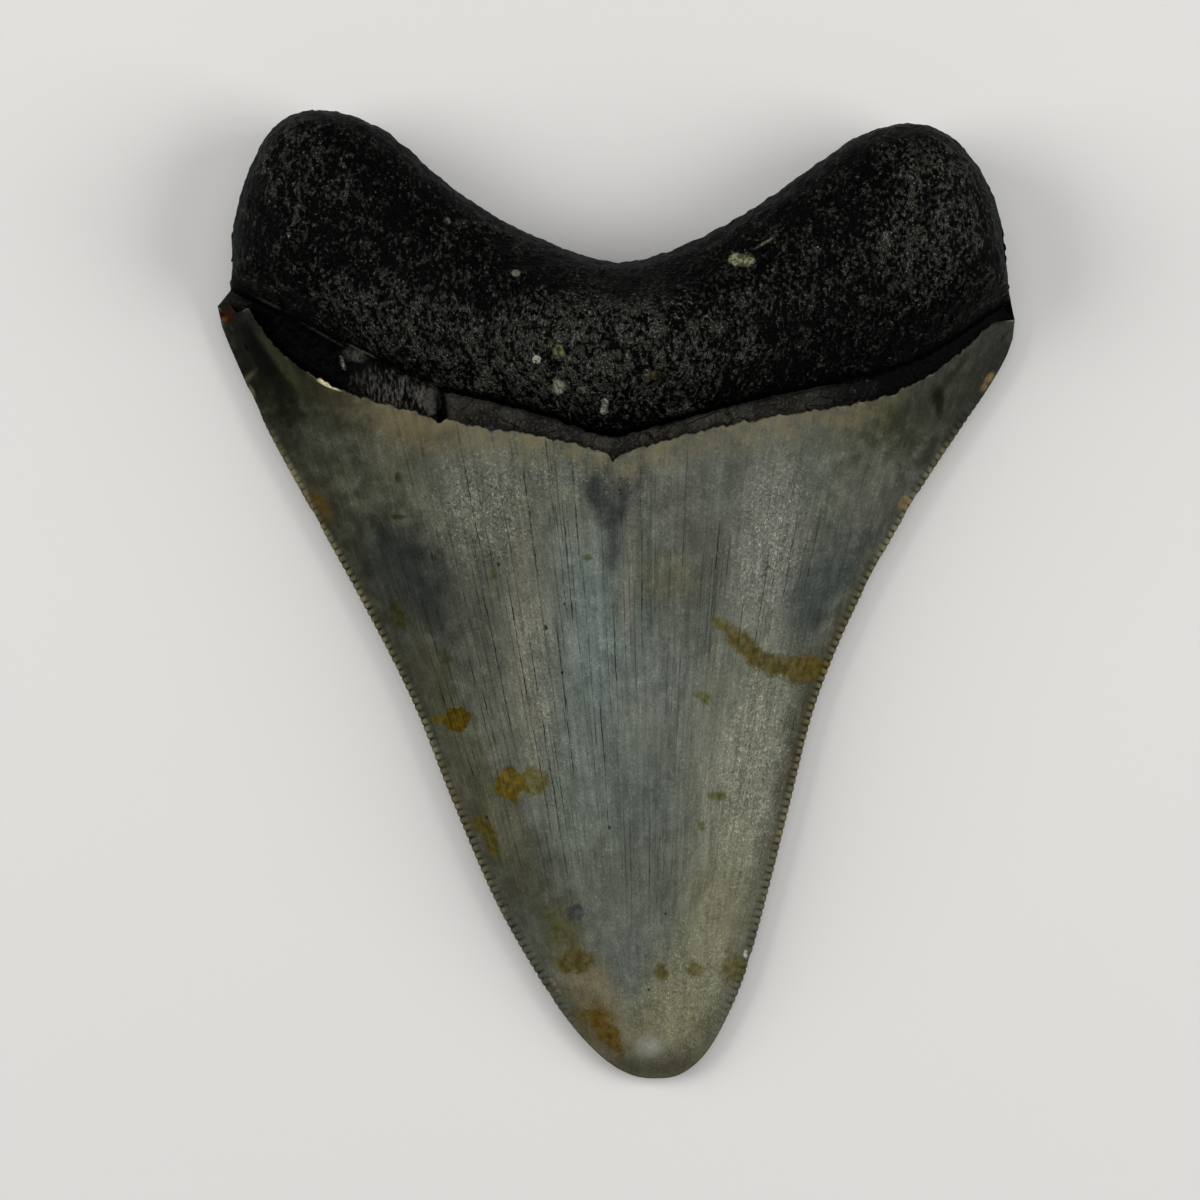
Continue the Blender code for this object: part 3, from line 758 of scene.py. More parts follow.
# Marks are (centre, half size, turn in degrees, softness, strength, colour if any).
CROWN_TONES_AND_LIGHT = [
    ((-24.0, 10.5), (6.5, 9.0), 30, 0.9, 0.9, (74, 75, 60)),
    ((-20.5, 16.6), (5.0, 2.2), -15, 0.9, 0.8, (84, 78, 58)),
    ((-28.5, 8.5), (2.2, 11.0), 31, 0.7, 0.7, (52, 52, 34)),
    ((-12.5, 9.0), (5.2, 7.0), 0, 0.8, 0.9, (92, 93, 82)),
    ((-20.8, 1.0), (4.6, 9.0), 34, 0.6, 0.95, (38, 41, 38)),
    ((-19.8, -7.0), (2.6, 4.0), 25, 0.8, 0.8, (52, 54, 46)),
    ((-13.6, -3.4), (2.8, 7.0), 4, 0.8, 0.8, (72, 74, 64)),
    # Partly the enamel's own cream, partly painted sheen: the bright band on the left flank.
    ((-8.4, -7.0), (2.0, 13.0), 5, 0.7, 0.85, (106, 105, 92)),
    ((-2.2, -6.0), (4.0, 13.0), 0, 0.8, 0.9, (98, 107, 102)),
    ((6.5, 6.5), (6.0, 7.0), 0, 0.9, 0.8, (82, 84, 76)),
    ((2.6, -1.0), (2.4, 6.5), 0, 0.9, 0.85, (76, 82, 75)),
    ((4.0, -10.0), (3.0, 5.0), 0, 0.8, 0.8, (98, 103, 96)),
    ((5.0, 1.8), (3.0, 2.0), 0, 0.8, 0.6, (86, 85, 62)),
    ((0.2, 11.0), (3.4, 2.8), 0, 0.9, 0.8, (72, 74, 67)),
    ((-1.8, 9.6), (1.0, 2.7), 25, 0.8, 0.9, (44, 48, 47)),
    ((1.0, 9.8), (0.9, 2.4), -28, 0.8, 0.9, (44, 48, 48)),
    ((-0.4, 6.3), (0.6, 3.0), 0, 0.8, 0.85, (50, 54, 52)),
    # Painted highlight along the right side of the central furrow.
    ((1.2, 3.0), (0.6, 7.0), -3, 0.7, 0.6, (112, 110, 98)),
    # Partly the enamel's own colour, partly painted sheen: the bright band on the right flank.
    ((15.0, 3.8), (3.0, 8.5), -5, 0.7, 0.95, (107, 108, 99)),
    ((20.9, 1.2), (3.0, 7.5), -30, 0.6, 0.95, (60, 66, 63)),
    ((26.0, 11.5), (3.6, 7.0), -34, 0.9, 0.8, (76, 78, 69)),
    ((28.6, 18.2), (5.4, 3.2), 25, 0.9, 0.95, (50, 51, 32)),
    ((34.4, 21.5), (4.6, 8.0), -35, 0.6, 0.95, (50, 52, 44)),
    ((38.2, 25.4), (2.2, 2.8), -30, 0.7, 0.9, (42, 43, 36)),
    ((33.8, 22.4), (0.4, 2.8), -39, 0.6, 0.7, (22, 24, 15)),
    ((32.3, 19.2), (0.5, 1.6), 8, 0.6, 0.85, (18, 20, 10)),
    # Partly the enamel's own colour, partly painted sheen: the bright band lower on the right
    # flank.
    ((13.0, -18.0), (5.6, 13.0), -7, 0.6, 0.95, (112, 113, 98)),
    ((18.6, -15.0), (1.6, 9.0), -12, 0.8, 0.85, (62, 64, 53)),
    ((2.6, -20.5), (3.2, 6.0), 10, 0.8, 0.8, (82, 89, 84)),
    ((-3.6, -21.0), (3.6, 9.0), 0, 0.9, 0.8, (95, 101, 92)),
    ((-9.6, -27.0), (3.0, 7.0), 32, 0.8, 0.9, (68, 69, 60)),
    ((1.2, -33.0), (4.0, 6.5), 0, 0.8, 0.8, (90, 95, 86)),
    ((10.2, -33.0), (3.4, 8.0), -12, 0.8, 0.9, (116, 115, 93)),
    ((-2.0, -40.5), (2.2, 5.0), 35, 0.7, 0.8, (104, 98, 72)),
    ((4.8, -42.4), (4.8, 5.0), 0, 0.8, 0.98, (114, 112, 88)),
    ((4.6, -47.6), (5.0, 1.2), 0, 0.9, 0.65, (70, 67, 50)),
    ((1.0, -37.0), (1.9, 5.0), 8, 0.8, 0.85, (88, 93, 87)),
    ((-2.6, -39.6), (2.0, 4.4), 34, 0.8, 0.75, (108, 101, 78)),
    ((-2.4, -44.4), (1.4, 2.6), 42, 0.8, 0.7, (96, 88, 60)),
    ((-14.5, -17.0), (2.2, 14.0), 24, 0.8, 0.85, (70, 69, 50)),
    ((-11.2, -23.0), (1.6, 3.2), 20, 0.8, 0.7, (88, 87, 70)),
    ((-32.0, 17.8), (4.8, 8.0), 31, 0.6, 0.95, (50, 51, 40)),
    # Painted shade: this mark and the next darken the left shoulder.
    ((-29.4, 20.6), (4.4, 1.8), -36, 0.8, 0.95, (40, 39, 22)),
    ((-36.2, 24.4), (3.6, 8.0), 27, 0.5, 0.98, (13, 13, 5)),
    ((-36.0, 25.0), (1.4, 4.6), 26, 0.5, 0.98, (1, 1, 0)),
    ((-33.8, 23.8), (0.6, 4.0), 38, 0.6, 0.8, (46, 48, 30)),
]
CROWN_STAINS_AND_HIGHLIGHTS = [
    ((-16.0, -12.4), (1.35, 1.25), 0, 0.08, 0.95, (71, 57, 0)),
    ((-17.7, -12.4), (1.0, 0.45), 0, 0.4, 0.8, (72, 63, 5)),
    ((-10.7, -18.7), (1.5, 1.6), 20, 0.12, 0.9, (84, 70, 8)),
    ((-8.4, -18.4), (1.5, 1.4), 0, 0.25, 0.7, (84, 76, 22)),
    ((-13.6, -23.0), (1.0, 0.9), 0, 0.3, 0.8, (66, 57, 5)),
    ((-12.5, -24.6), (0.7, 1.6), 10, 0.35, 0.8, (68, 60, 7)),
    ((-5.4, -33.6), (1.6, 2.6), 22, 0.6, 0.6, (70, 68, 26)),
    ((-4.3, -36.6), (1.8, 1.2), 8, 0.4, 0.75, (68, 58, 12)),
    ((-2.2, -42.0), (1.6, 1.0), -20, 0.8, 0.7, (84, 66, 20)),
    ((-0.8, -43.9), (1.1, 2.6), 32, 0.6, 0.85, (78, 59, 6)),
    ((10.2, -2.8), (1.0, 0.6), -20, 0.5, 0.75, (80, 74, 22)),
    ((12.4, -4.6), (1.0, 2.4), 48, 0.4, 0.85, (72, 64, 10)),
    ((14.9, -6.6), (2.0, 1.15), -20, 0.3, 0.85, (67, 58, 8)),
    ((18.7, -7.3), (2.8, 1.3), 4, 0.25, 0.85, (72, 60, 7)),
    ((8.7, -10.1), (1.1, 0.5), -30, 0.4, 0.7, (74, 74, 20)),
    ((-21.7, 11.8), (0.32, 0.55), 0, 0.4, 0.8, (42, 41, 1)),
    ((-21.7, 7.9), (0.75, 0.25), 0, 0.4, 0.8, (40, 39, 1)),
    ((-22.0, -1.9), (0.8, 1.3), 25, 0.4, 0.7, (44, 44, 5)),
    ((-17.0, -6.4), (0.5, 0.6), 0, 0.5, 0.7, (46, 46, 9)),
    ((10.0, -19.9), (0.9, 0.35), 0, 0.4, 0.8, (72, 72, 18)),
    ((8.5, -22.9), (0.4, 0.5), 0, 0.4, 0.7, (69, 69, 18)),
    ((-2.9, 3.8), (0.5, 0.3), 0, 0.4, 0.6, (65, 65, 18)),
    ((-12.2, 2.1), (0.35, 0.55), 0, 0.4, 0.6, (57, 57, 12)),
    ((4.4, -37.6), (0.7, 0.85), 20, 0.3, 0.75, (65, 61, 10)),
    ((7.9, -37.4), (0.9, 0.65), 0, 0.4, 0.7, (76, 66, 16)),
    ((11.8, -37.4), (1.4, 1.3), 0, 0.6, 0.7, (78, 70, 22)),
    ((-29.7, 9.2), (0.6, 1.5), 32, 0.8, 0.65, (84, 62, 14)),
    ((-6.4, -38.8), (0.2, 0.45), 35, 0.3, 0.85, (132, 112, 80)),
    ((-5.8, -39.8), (0.18, 0.35), 35, 0.3, 0.8, (112, 94, 64)),
    ((-4.0, -31.6), (0.95, 0.8), 0, 0.3, 0.7, (48, 48, 50)),
    ((13.0, -36.0), (0.2, 0.38), 0, 0.3, 0.9, (172, 172, 156)),
    # Painted highlight on the tip.
    ((3.3, -45.2), (1.1, 0.9), 0, 0.9, 0.6, (150, 152, 142)),
    ((37.5, 21.9), (0.3, 0.6), -40, 0.6, 0.85, (116, 98, 58)),
    ((37.0, 21.0), (0.25, 0.4), -35, 0.6, 0.8, (116, 104, 68)),
    ((29.0, 9.5), (0.5, 0.9), -30, 0.3, 0.8, (112, 96, 62)),
    # Painted highlights on the nick at the left shoulder: this mark and the next.
    ((-37.1, 21.9), (0.9, 0.25), 42, 0.9, 0.6, (84, 80, 54)),
    ((-36.7, 20.6), (0.22, 0.6), 25, 0.7, 0.6, (104, 98, 70)),
    ((-39.3, 28.9), (1.05, 1.6), 15, 0.2, 1.0, (30, 9, 0)),
    ((-39.6, 27.8), (0.4, 0.3), 20, 0.7, 0.6, (84, 54, 18)),
    # Painted highlights on the broken margin: this mark and the next.
    ((25.3, 19.8), (0.6, 0.25), 15, 0.3, 0.8, (180, 170, 140)),
    ((-28.7, 21.1), (1.2, 0.28), -25, 0.3, 0.9, (206, 196, 160)),
    ((-7.0, -3.1), (0.16, 0.26), 10, 0.4, 0.9, (8, 8, 8)),
    ((-5.4, -7.6), (0.12, 0.16), 0, 0.4, 0.9, (10, 10, 10)),
    ((-11.7, 3.1), (0.14, 0.18), 0, 0.4, 0.8, (10, 10, 8)),
    ((-5.2, -0.8), (0.10, 0.18), 0, 0.4, 0.8, (14, 14, 14)),
    ((-13.0, -22.2), (0.14, 0.20), 0, 0.4, 0.8, (12, 12, 10)),
    ((-0.7, -23.0), (0.16, 0.22), 0, 0.4, 0.8, (14, 16, 14)),
    ((4.9, -31.7), (0.14, 0.14), 0, 0.4, 0.8, (10, 12, 12)),
    ((3.2, -39.4), (0.12, 0.14), 0, 0.4, 0.8, (14, 14, 10)),
]
LABIAL_TONES = [
    ((0.0, 5.0), (16.0, 9.0), 0, 0.9, 0.7, (94, 96, 86)),
    ((-16.0, 4.0), (5.0, 9.0), 28, 0.8, 0.7, (50, 53, 50)),
    ((15.0, -2.0), (4.0, 9.0), -24, 0.8, 0.7, (56, 59, 56)),
    ((2.0, -16.0), (4.0, 14.0), 2, 0.8, 0.8, (106, 104, 86)),
    ((-5.0, -28.0), (4.0, 5.0), 20, 0.8, 0.7, (74, 80, 80)),
    ((6.0, -38.0), (5.0, 5.0), 0, 0.8, 0.8, (102, 96, 72)),
    ((8.0, 13.0), (9.0, 3.0), -6, 0.8, 0.7, (98, 90, 66)),
    ((-28.0, 17.0), (5.0, 5.0), 30, 0.8, 0.7, (50, 50, 40)),
    ((29.0, 17.0), (5.0, 5.0), -30, 0.8, 0.7, (54, 54, 44)),
]
LABIAL_STAINS = [
    ((9.0, -6.0), (1.8, 1.2), 20, 0.25, 0.8, (76, 60, 18)),
    ((-7.0, 1.5), (1.0, 1.6), 10, 0.3, 0.7, (72, 64, 26)),
    ((-2.0, -20.5), (1.5, 0.9), 0, 0.2, 0.85, (76, 58, 10)),
    ((5.5, -31.0), (0.9, 1.6), -25, 0.3, 0.8, (74, 62, 22)),
    ((14.0, 8.0), (0.7, 0.7), 0, 0.4, 0.7, (60, 58, 28)),
    ((-19.0, 11.0), (1.6, 0.7), -30, 0.3, 0.7, (80, 56, 18)),
]
CRACKED = [
    ((-8.0, -6.0), (12.0, 22.0), 6, 0.6, 1.0),
    ((10.0, 4.0), (9.0, 11.0), 0, 0.6, 0.7),
    ((2.0, -28.0), (5.0, 9.0), 0, 0.6, 0.8),
]
SCUFFED = [
    ((-13.0, 8.5), (4.5, 5.0), 0, 0.6, 1.0),
    ((-4.0, 12.0), (9.0, 2.5), -8, 0.6, 0.7),
    ((15.5, 5.5), (3.2, 7.0), -10, 0.6, 1.0),
    ((14.5, -17.0), (4.0, 12.0), -8, 0.6, 0.9),
    ((8.0, -40.0), (6.0, 6.0), 0, 0.6, 0.6),
    ((-8.0, -9.0), (2.0, 10.0), 8, 0.6, 0.5),
]

# Streaks and cracks fan out from a point past the tip.
FAN_POINT = (3.0, -78.0)


def build_enamel():
    """Polished enamel, toned, streaked, scuffed, stained and cracked, with shade and highlights
    painted into its colour.
    """
    material, tree, shader, position = started("fossil_enamel", 0.40, 0.04)
    flat = laid_flat(tree, position)
    upper, inset = attribute(tree, "upper"), attribute(tree, "inset")
    below, groove = attribute(tree, "below_margin"), attribute(tree, "groove")
    lower = calc(tree, "SUBTRACT", 1.0, upper)

    parts = add(tree, "SeparateXYZ", {"Vector": position}).outputs
    past_tip = calc(tree, "SUBTRACT", parts["Y"], FAN_POINT[1])
    narrowing = calc(tree, "DIVIDE", past_tip, -FAN_POINT[1])
    aside = calc(tree, "SUBTRACT", parts["X"], FAN_POINT[0])
    fanned = calc(tree, "DIVIDE", aside, narrowing)
    lengthwise = vector(tree, fanned, parts["Y"], calc(tree, "MULTIPLY", upper, 40.0))

    broad = mottle(tree, position, 7.0, 3.0)
    patchy = mottle(tree, position, 1.6, 3.0)
    uneven = calc(tree, "ADD", centred(tree, broad, 0.7), centred(tree, patchy))
    frayed = centred(tree, patchy, 0.9)

    colour = blend(tree, ramp(tree, broad, 0.35, 0.65), tone(80, 84, 76), tone(92, 94, 82))
    for marks, side in ((CROWN_TONES_AND_LIGHT, upper), (LABIAL_TONES, lower)):
        colour = paint(tree, colour, masks_of(tree, flat, marks, uneven, side), marks)

    # Clouds, mottling and lengthwise streaks darken or lighten what they lie on.
    drawn = vector_calc(tree, "MULTIPLY", lengthwise, (1.0, 0.4, 1.0))
    shade = ramp(tree, mottle(tree, drawn, 2.6, 5.0, 0.65, 1.0), 0.30, 0.70, 0.82, 1.16)
    shade = calc(tree, "MULTIPLY", shade, ramp(tree, patchy, 0.30, 0.70, 0.86, 1.14))
    drawn = vector_calc(tree, "MULTIPLY", lengthwise, (1.0, 0.06, 1.0))
    streaks = mottle(tree, drawn, 0.5, 3.0, 0.7)
    off_tip = ramp(tree, parts["Y"], -38.0, -24.0, 0.15, 1.0)
    streaked = calc(tree, "MULTIPLY", ramp(tree, streaks, 0.25, 0.75, -0.22, 0.22), off_tip)
    shade = calc(tree, "MULTIPLY", shade, calc(tree, "ADD", streaked, 1.0))

    # Scuffed places are granular, with bright nicks, dark pits and curled scratches.
    scuffed = highest(tree, masks_of(tree, flat, SCUFFED, uneven))
    scuffing = calc(tree, "MULTIPLY_ADD", scuffed, 0.6, 0.4)
    drawn = vector_calc(tree, "MULTIPLY", lengthwise, (1.0, 0.7, 1.0))
    nicks = mottle(tree, drawn, 0.22, 2.0, 0.7, 0.5)
    pitted = ramp(tree, nicks, 0.46, 0.28, 0.0, -0.6)
    nicked = calc(tree, "ADD", pitted, ramp(tree, nicks, 0.54, 0.72, 0.0, 1.0))
    shade = calc(tree, "MULTIPLY", shade, calc(tree, "MULTIPLY_ADD", nicked, scuffing, 1.0))
    for offset, change in ((0.0, -0.5), (60.0, 1.0)):
        moved = vector_calc(tree, "ADD", position, (offset, 0.0, 0.0))
        curls = centred(tree, mottle(tree, moved, 0.8, 1.5, 0.5, 2.0))
        curls = ramp(tree, calc(tree, "ABSOLUTE", curls), 0.028, 0.008)
        curls = product(tree, curls, scuffing, change)
        shade = calc(tree, "MULTIPLY", shade, calc(tree, "ADD", curls, 1.0))
    colour = multiplied(tree, colour, grey(tree, shade))

    # Painted shade: the colour darkens towards the cutting edge.
    edge_shade = ramp(tree, calc(tree, "MULTIPLY_ADD", uneven, 1.5, inset), 3.8, 0.5, 0.0, 0.34)
    colour = blend(tree, edge_shade, colour, tone(24, 24, 17))

    # The margin is warm, and the cutting edge is tanned by wear.
    off_shoulders = ramp(tree, calc(tree, "ABSOLUTE", parts["X"]), 31.0, 22.0)
    warmed = ramp(tree, patchy, 0.3, 0.7, 0.1, 0.7)
    warmed = product(tree, warmed, ramp(tree, below, 4.0, 0.3), off_shoulders)
    colour = blend(tree, warmed, colour, tone(104, 94, 66))
    tanned = ramp(tree, broad, 0.35, 0.65, 0.1, 0.65)
    tanned = product(tree, tanned, ramp(tree, inset, 2.0, 0.3), off_shoulders, off_tip)
    colour = blend(tree, tanned, colour, tone(66, 60, 34))

    # Stains lie over all that, with painted highlights on the tip, the nicked left shoulder and the
    # margin, each one mottled and a little frayed.
    mottled = mottle(tree, position, 0.7, 4.0, 0.65, 0.2)
    frayed = calc(tree, "ADD", centred(tree, mottled, 0.45), frayed)
    stain_and_highlight_masks = masks_of(tree, flat, CROWN_STAINS_AND_HIGHLIGHTS, frayed, upper)
    stain_and_highlight_masks += masks_of(tree, flat, LABIAL_STAINS, frayed, lower)
    colour = paint(tree, colour, stain_and_highlight_masks, CROWN_STAINS_AND_HIGHLIGHTS + LABIAL_STAINS)
    change = product(tree, ramp(tree, mottled, 0.32, 0.68, -0.40, 0.5), highest(tree, stain_and_highlight_masks))
    colour = multiplied(tree, colour, grey(tree, calc(tree, "ADD", change, 1.0)))

    # Painted highlights pale the serrations' crests, painted shade darkens their grooves, and the
    # broken margin is painted with a highlight where it catches the light.
    crest_highlight = product(tree, ramp(tree, inset, 0.8, 0.2), ramp(tree, groove, 0.5, 0.0))
    crest_highlight = product(tree, crest_highlight, ramp(tree, patchy, 0.35, 0.65, 0.25, 0.75))
    crest_highlight = product(tree, crest_highlight, off_tip, ramp(tree, parts["Y"], 19.0, 12.0))
    colour = blend(tree, crest_highlight, colour, tone(128, 119, 86))
    colour = blend(tree, product(tree, groove, 0.9), colour, tone(16, 14, 8))
    lip = product(tree, ramp(tree, below, 0.22, 0.03), ramp(tree, patchy, 0.45, 0.65, 0.0, 0.6))
    colour = blend(tree, lip, colour, tone(140, 134, 112))

    # Hair cracks: a few long dark ones, and many fine ones between them.
    cracks = grouped(tree, crack_group, {
        "Position": lengthwise, "Spacing": 1.0, "Width": 0.09, "Reach": 16.0, "Seed": 1.0})["Mask"]
    hairs = grouped(tree, crack_group, {
        "Position": lengthwise, "Spacing": 0.5, "Width": 0.065, "Reach": 14.0, "Seed": 4.0})["Mask"]
    cracked = calc(tree, "MAXIMUM", cracks, product(tree, hairs, 0.7))
    dense = ramp(tree, highest(tree, masks_of(tree, flat, CRACKED, uneven)), 0.0, 1.0, 0.35, 1.0)
    cracked = product(tree, cracked, dense, off_tip)
    colour = blend(tree, product(tree, cracked, 0.9), colour, tone(14, 14, 12))

    tree.links.new(colour, shader.inputs["Base Color"])
    tree.links.new(ramp(tree, patchy, 0.3, 0.7, 0.34, 0.50), shader.inputs["Roughness"])
    height = product(tree, nicks, scuffing, 0.6)
    height = calc(tree, "MULTIPLY_ADD", patchy, 0.35, height)
    height = calc(tree, "MULTIPLY_ADD", streaks, 0.25, height)
    height = calc(tree, "MULTIPLY_ADD", cracked, -0.35, height)
    bumped(tree, shader, height, 0.09)
    return material


ROOT_BRIGHTNESS = [
    ((-2.0, 24.0), (17.0, 5.5), 0, 0.6, 0.80),
    ((-32.0, 42.0), (4.5, 6.0), 20, 0.6, 0.45),
    ((31.0, 37.0), (6.0, 9.0), -20, 0.6, 0.65),
    ((-22.0, 28.0), (9.0, 4.0), -15, 0.6, 0.60),
    ((15.0, 30.0), (12.0, 4.0), 25, 0.6, 0.40),
]
ROOT_HOLLOW_SHADE = [
    ((24.0, 23.6), (11.0, 1.9), 14, 0.6, 1.0),
    ((-31.0, 24.8), (7.0, 2.2), -30, 0.6, 1.0),
    ((-25.0, 21.8), (2.6, 1.8), -20, 0.6, 0.9),
    ((-2.0, 31.2), (12.0, 1.6), 0, 0.6, 0.5),
]
BROKEN_STUMP = [((-21.6, 20.3), (4.0, 1.7), -17, 0.6, 0.9)]
ROOT_SPOTS_AND_PAINTED_LIGHT = [
    ((-26.0, 24.0), (1.2, 0.6), -15, 0.4, 0.7, (72, 71, 66)),
    # Painted glint.
    ((-27.4, 23.3), (0.22, 0.6), 20, 0.3, 0.8, (120, 120, 112)),
    ((-18.15, 19.5), (0.75, 1.6), -8, 0.15, 0.95, (60, 59, 55)),
    # Painted shade: the slot at the ribbon's broken end is painted black.
    ((-16.95, 19.0), (0.34, 2.2), -5, 0.25, 1.0, (1, 1, 1)),
    ((-39.5, 29.9), (1.0, 0.9), 40, 0.3, 1.0, (44, 16, 3)),
    # Painted highlights: this line and the next two light the ridge above the left hollow.
    ((-34.6, 29.2), (1.6, 0.13), -26, 0.4, 0.7, (66, 65, 60)),
    ((-29.2, 26.0), (2.2, 0.12), -30, 0.4, 0.6, (62, 61, 56)),
    ((-25.4, 24.4), (1.6, 0.12), -26, 0.4, 0.7, (92, 90, 80)),
    ((12.2, 33.2), (1.4, 0.65), -5, 0.25, 0.9, (136, 136, 106)),
    ((14.5, 34.8), (0.9, 0.18), 30, 0.3, 0.7, (110, 112, 88)),
    ((-7.9, 23.2), (0.4, 0.42), 20, 0.25, 0.9, (160, 162, 146)),
    ((-5.7, 23.9), (0.5, 0.55), 0, 0.35, 0.8, (104, 100, 66)),
    ((-5.6, 20.5), (0.5, 0.7), 20, 0.5, 0.8, (140, 142, 124)),
    ((-3.5, 20.2), (0.4, 0.35), 0, 0.4, 0.7, (100, 100, 84)),
    ((-1.2, 18.6), (0.38, 0.65), 0, 0.25, 0.9, (170, 170, 156)),
    ((-9.9, 31.8), (0.35, 0.3), 0, 0.3, 0.7, (110, 112, 96)),
    ((-16.7, 37.1), (0.3, 0.3), 0, 0.3, 0.7, (90, 94, 80)),
    ((3.7, 21.5), (0.7, 0.5), 0, 0.6, 0.6, (72, 64, 34)),
]


def build_bone():
    """The root's black bone: grain, painted shade in its hollows, a greyer rim with painted sheen,
    pale spots and painted highlights.
    """
    material, tree, shader, position = started("fossil_bone", 0.55, 0.03)
    flat = laid_flat(tree, position)
    relief, upper = attribute(tree, "relief"), attribute(tree, "upper")
    inset = attribute(tree, "inset")
    above_crease = product(tree, attribute(tree, "below_margin"), -1.0)
    broad = mottle(tree, position, 5.0, 3.0)
    patchy = mottle(tree, position, 0.8, 3.0)
    uneven = centred(tree, broad, 1.5)
    frayed = centred(tree, patchy, 1.6)

    # Grains show grey where the bone is bright. Painted shade keeps them black in the hollows.
    shine = highest(tree, masks_of(tree, flat, ROOT_BRIGHTNESS, uneven))
    shine = calc(tree, "MAXIMUM", shine, ramp(tree, broad, 0.3, 0.7, 0.0, 0.24))
    hollow_shade = highest(tree, masks_of(tree, flat, ROOT_HOLLOW_SHADE, uneven, upper))
    brightness = product(tree, shine, calc(tree, "SUBTRACT", 1.0, hollow_shade))
    grain = grouped(tree, grain_group, {
        "Position": position, "Relief": relief, "Brightness": brightness})
    # Painted shade: the crease above the neck is painted near black.
    colour = blend(tree, ramp(tree, above_crease, 0.9, 0.3), grain["Color"], tone(2, 2, 2))

    # The ribbon's broken stump is striped, and the root's rim is fibrous, with a blue-green painted
    # sheen.
    striae = mottle(tree, vector_calc(tree, "MULTIPLY", position, (1.0, 0.3, 0.3)), 0.30, 3.0, 0.7)
    broken = blend(tree, ramp(tree, striae, 0.44, 0.70), tone(3, 3, 3), tone(84, 83, 76))
    colour = blend(tree, masks_of(tree, flat, BROKEN_STUMP, frayed, upper)[0], colour, broken)
    fibres = mottle(tree, vector_calc(tree, "MULTIPLY", position, (0.4, 0.4, 3.0)), 0.5, 3.0, 0.7)
    rim_fibres_and_sheen = blend(tree, ramp(tree, fibres, 0.4, 0.65), tone(4, 5, 5), tone(38, 47, 44))
    rim_share = ramp(tree, calc(tree, "MULTIPLY_ADD", uneven, 0.8, inset), 1.5, 0.4, 0.0, 0.6)
    rim_share = product(tree, rim_share, ramp(tree, above_crease, 1.0, 4.0))
    colour = blend(tree, rim_share, colour, rim_fibres_and_sheen)

    # Pale crumbs and spots sit on the tops of the grains, with painted highlights on the left
    # ridge, a painted glint, and painted shade in the slot.
    on_grain_tops = product(tree, upper, ramp(tree, grain["Height"], 0.40, 0.56, 0.25, 1.0))
    colour = paint(tree, colour, masks_of(tree, flat, ROOT_SPOTS_AND_PAINTED_LIGHT, frayed, on_grain_tops), ROOT_SPOTS_AND_PAINTED_LIGHT)
    tree.links.new(colour, shader.inputs["Base Color"])
    bumped(tree, shader, grain["Height"], 0.30)
    return material


def build_ribbon():
    """The neck ribbon's satin skin, cracked, and worn through at its right end."""
    material, tree, shader, position = started("neck_ribbon", 0.5, 0.04)
    broad = mottle(tree, position, 2.6, 3.0)
    patchy = mottle(tree, position, 1.4, 2.0)
    fine = mottle(tree, position, 0.30, 3.0, 0.7)
    colour = blend(tree, ramp(tree, broad, 0.35, 0.65), tone(20, 19, 16), tone(44, 43, 38))
    colour = blend(tree, ramp(tree, fine, 0.52, 0.72, 0.0, 0.5), colour, tone(84, 82, 73))
    colour = blend(tree, ramp(tree, fine, 0.46, 0.28, 0.0, 0.9), colour, tone(3, 3, 3))
    bent = vector_calc(tree, "MULTIPLY", position, (0.5, 0.8, 0.0))
    bent = vector_calc(tree, "ADD", bent, vector(tree, patchy, patchy))
    cells = add(tree, "TexVoronoi", {"Vector": bent, "Scale": 0.6}, feature="DISTANCE_TO_EDGE")
    crack = ramp(tree, cells.outputs["Distance"], 0.022, 0.006)
    crack = product(tree, crack, ramp(tree, broad, 0.42, 0.55))
    colour = blend(tree, crack, colour, tone(6, 6, 5))
    grain = grouped(tree, grain_group, {"Position": position, "Relief": 0.0, "Brightness": 0.0})
    x = add(tree, "SeparateXYZ", {"Vector": position}).outputs["X"]
    worn = ramp(tree, calc(tree, "ADD", centred(tree, broad, 6.0), x), 18.5, 23.5)
    colour = blend(tree, worn, colour, grain["Color"])
    tree.links.new(colour, shader.inputs["Base Color"])
    height = calc(tree, "MULTIPLY_ADD", crack, -0.6, fine)
    bumped(tree, shader, height, 0.08)
    return material


for material in (build_bone(), build_ribbon(), build_enamel()):
    tooth_mesh.materials.append(material)

# ---- The studio ----
# A plain pale floor, two broad soft lights low at the sides, a weak one above,
# and a long lens that looks straight down, with the root at the top.

FLOOR_SIZE = 3.0
FLOOR_COLOUR = (0.70, 0.69, 0.67, 1.0)

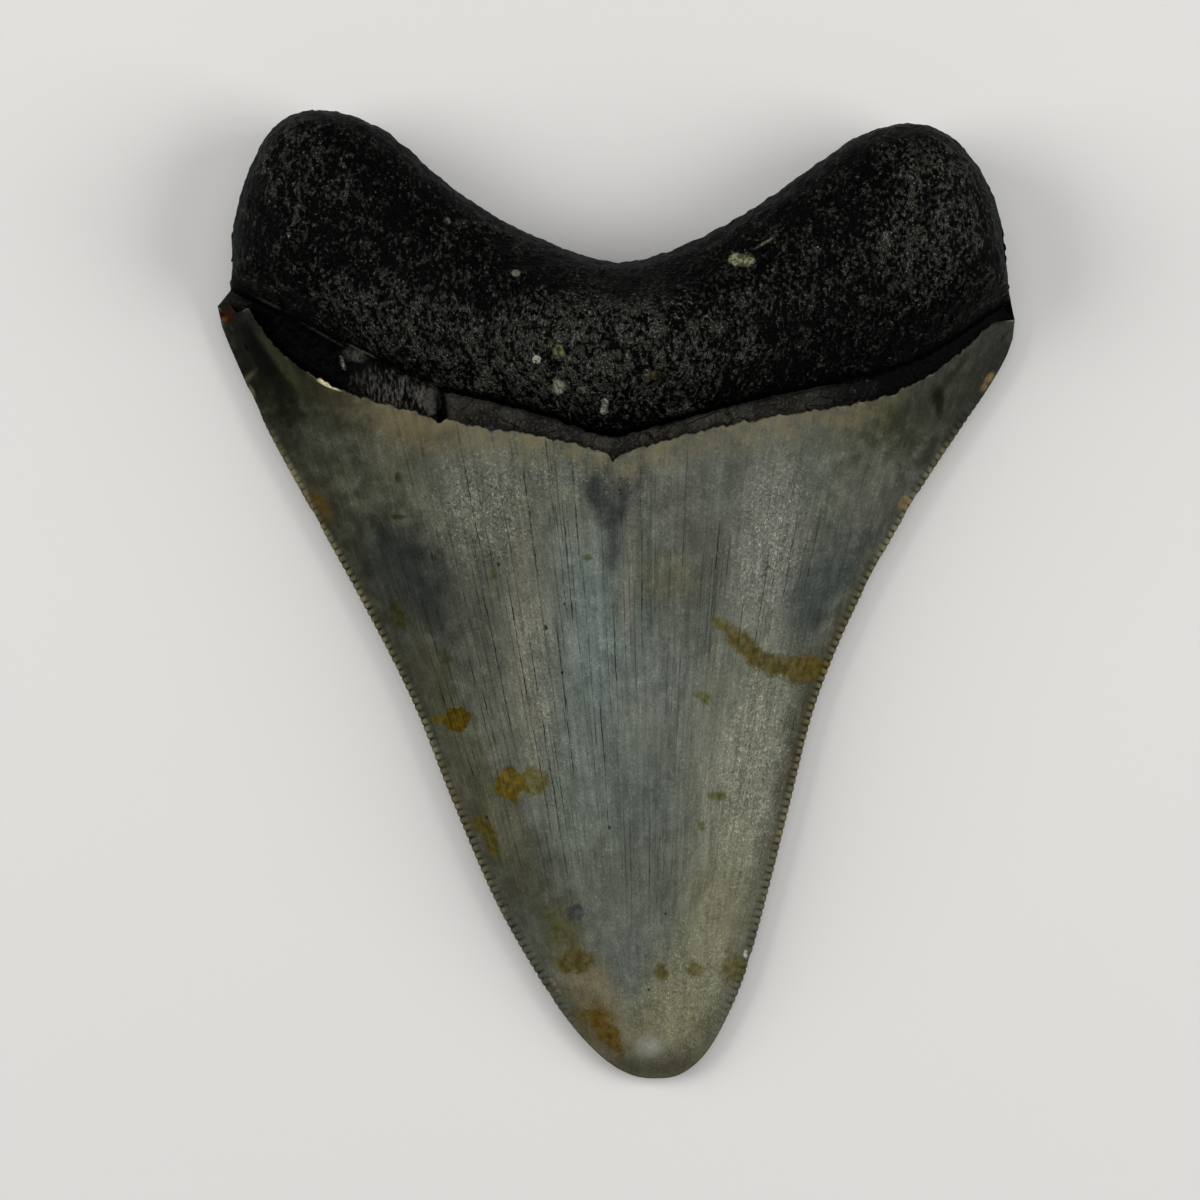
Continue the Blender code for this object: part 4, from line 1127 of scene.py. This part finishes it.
floor_mesh = bpy.data.meshes.new("floor")
floor_form = bmesh.new()
bmesh.ops.create_grid(floor_form, x_segments=1, y_segments=1, size=FLOOR_SIZE / 2.0)
floor_form.to_mesh(floor_mesh)
floor_form.free()
floor = bpy.data.objects.new("floor", floor_mesh)
bpy.context.scene.collection.objects.link(floor)
floor_paint = bpy.data.materials.new("floor_paint")
floor_paint.use_nodes = True
floor_shader = floor_paint.node_tree.nodes["Principled BSDF"]
floor_shader.inputs["Base Color"].default_value = FLOOR_COLOUR
floor_shader.inputs["Roughness"].default_value = 0.9
floor_mesh.materials.append(floor_paint)

# Each light has its name, place, size and watts.
SOFT_LIGHTS = [
    ("left_light", (-0.55, 0.10, 0.38), 0.45, 3.2),
    ("right_light", (0.55, 0.02, 0.38), 0.45, 3.2),
    ("top_light", (0.0, 0.25, 0.80), 0.60, 1.6),
]
for name, where, size, watts in SOFT_LIGHTS:
    light = bpy.data.lights.new(name, "AREA")
    light.shape = "SQUARE"
    light.size = size
    light.energy = watts
    lamp = bpy.data.objects.new(name, light)
    lamp.location = where
    lamp.rotation_euler = (-Vector(where)).to_track_quat("-Z", "Y").to_euler()
    bpy.context.scene.collection.objects.link(lamp)

world = bpy.data.worlds.new("studio")
world.use_nodes = True
world.node_tree.nodes["Background"].inputs["Color"].default_value = (1.0, 1.0, 1.0, 1.0)
world.node_tree.nodes["Background"].inputs["Strength"].default_value = 0.15
bpy.context.scene.world = world
bpy.context.scene.view_settings.view_transform = "Standard"

FRAME_WIDTH = 0.120
CAMERA_DISTANCE = 0.60
MID_HEIGHT = 0.006
FRAME_CENTRE = (-0.00165, -0.0004)
camera_data = bpy.data.cameras.new("camera")
camera_data.lens = camera_data.sensor_width * CAMERA_DISTANCE / FRAME_WIDTH
camera_data.clip_start = 0.01
camera = bpy.data.objects.new("camera", camera_data)
camera.location = (*FRAME_CENTRE, MID_HEIGHT + CAMERA_DISTANCE)
bpy.context.scene.collection.objects.link(camera)
bpy.context.scene.camera = camera
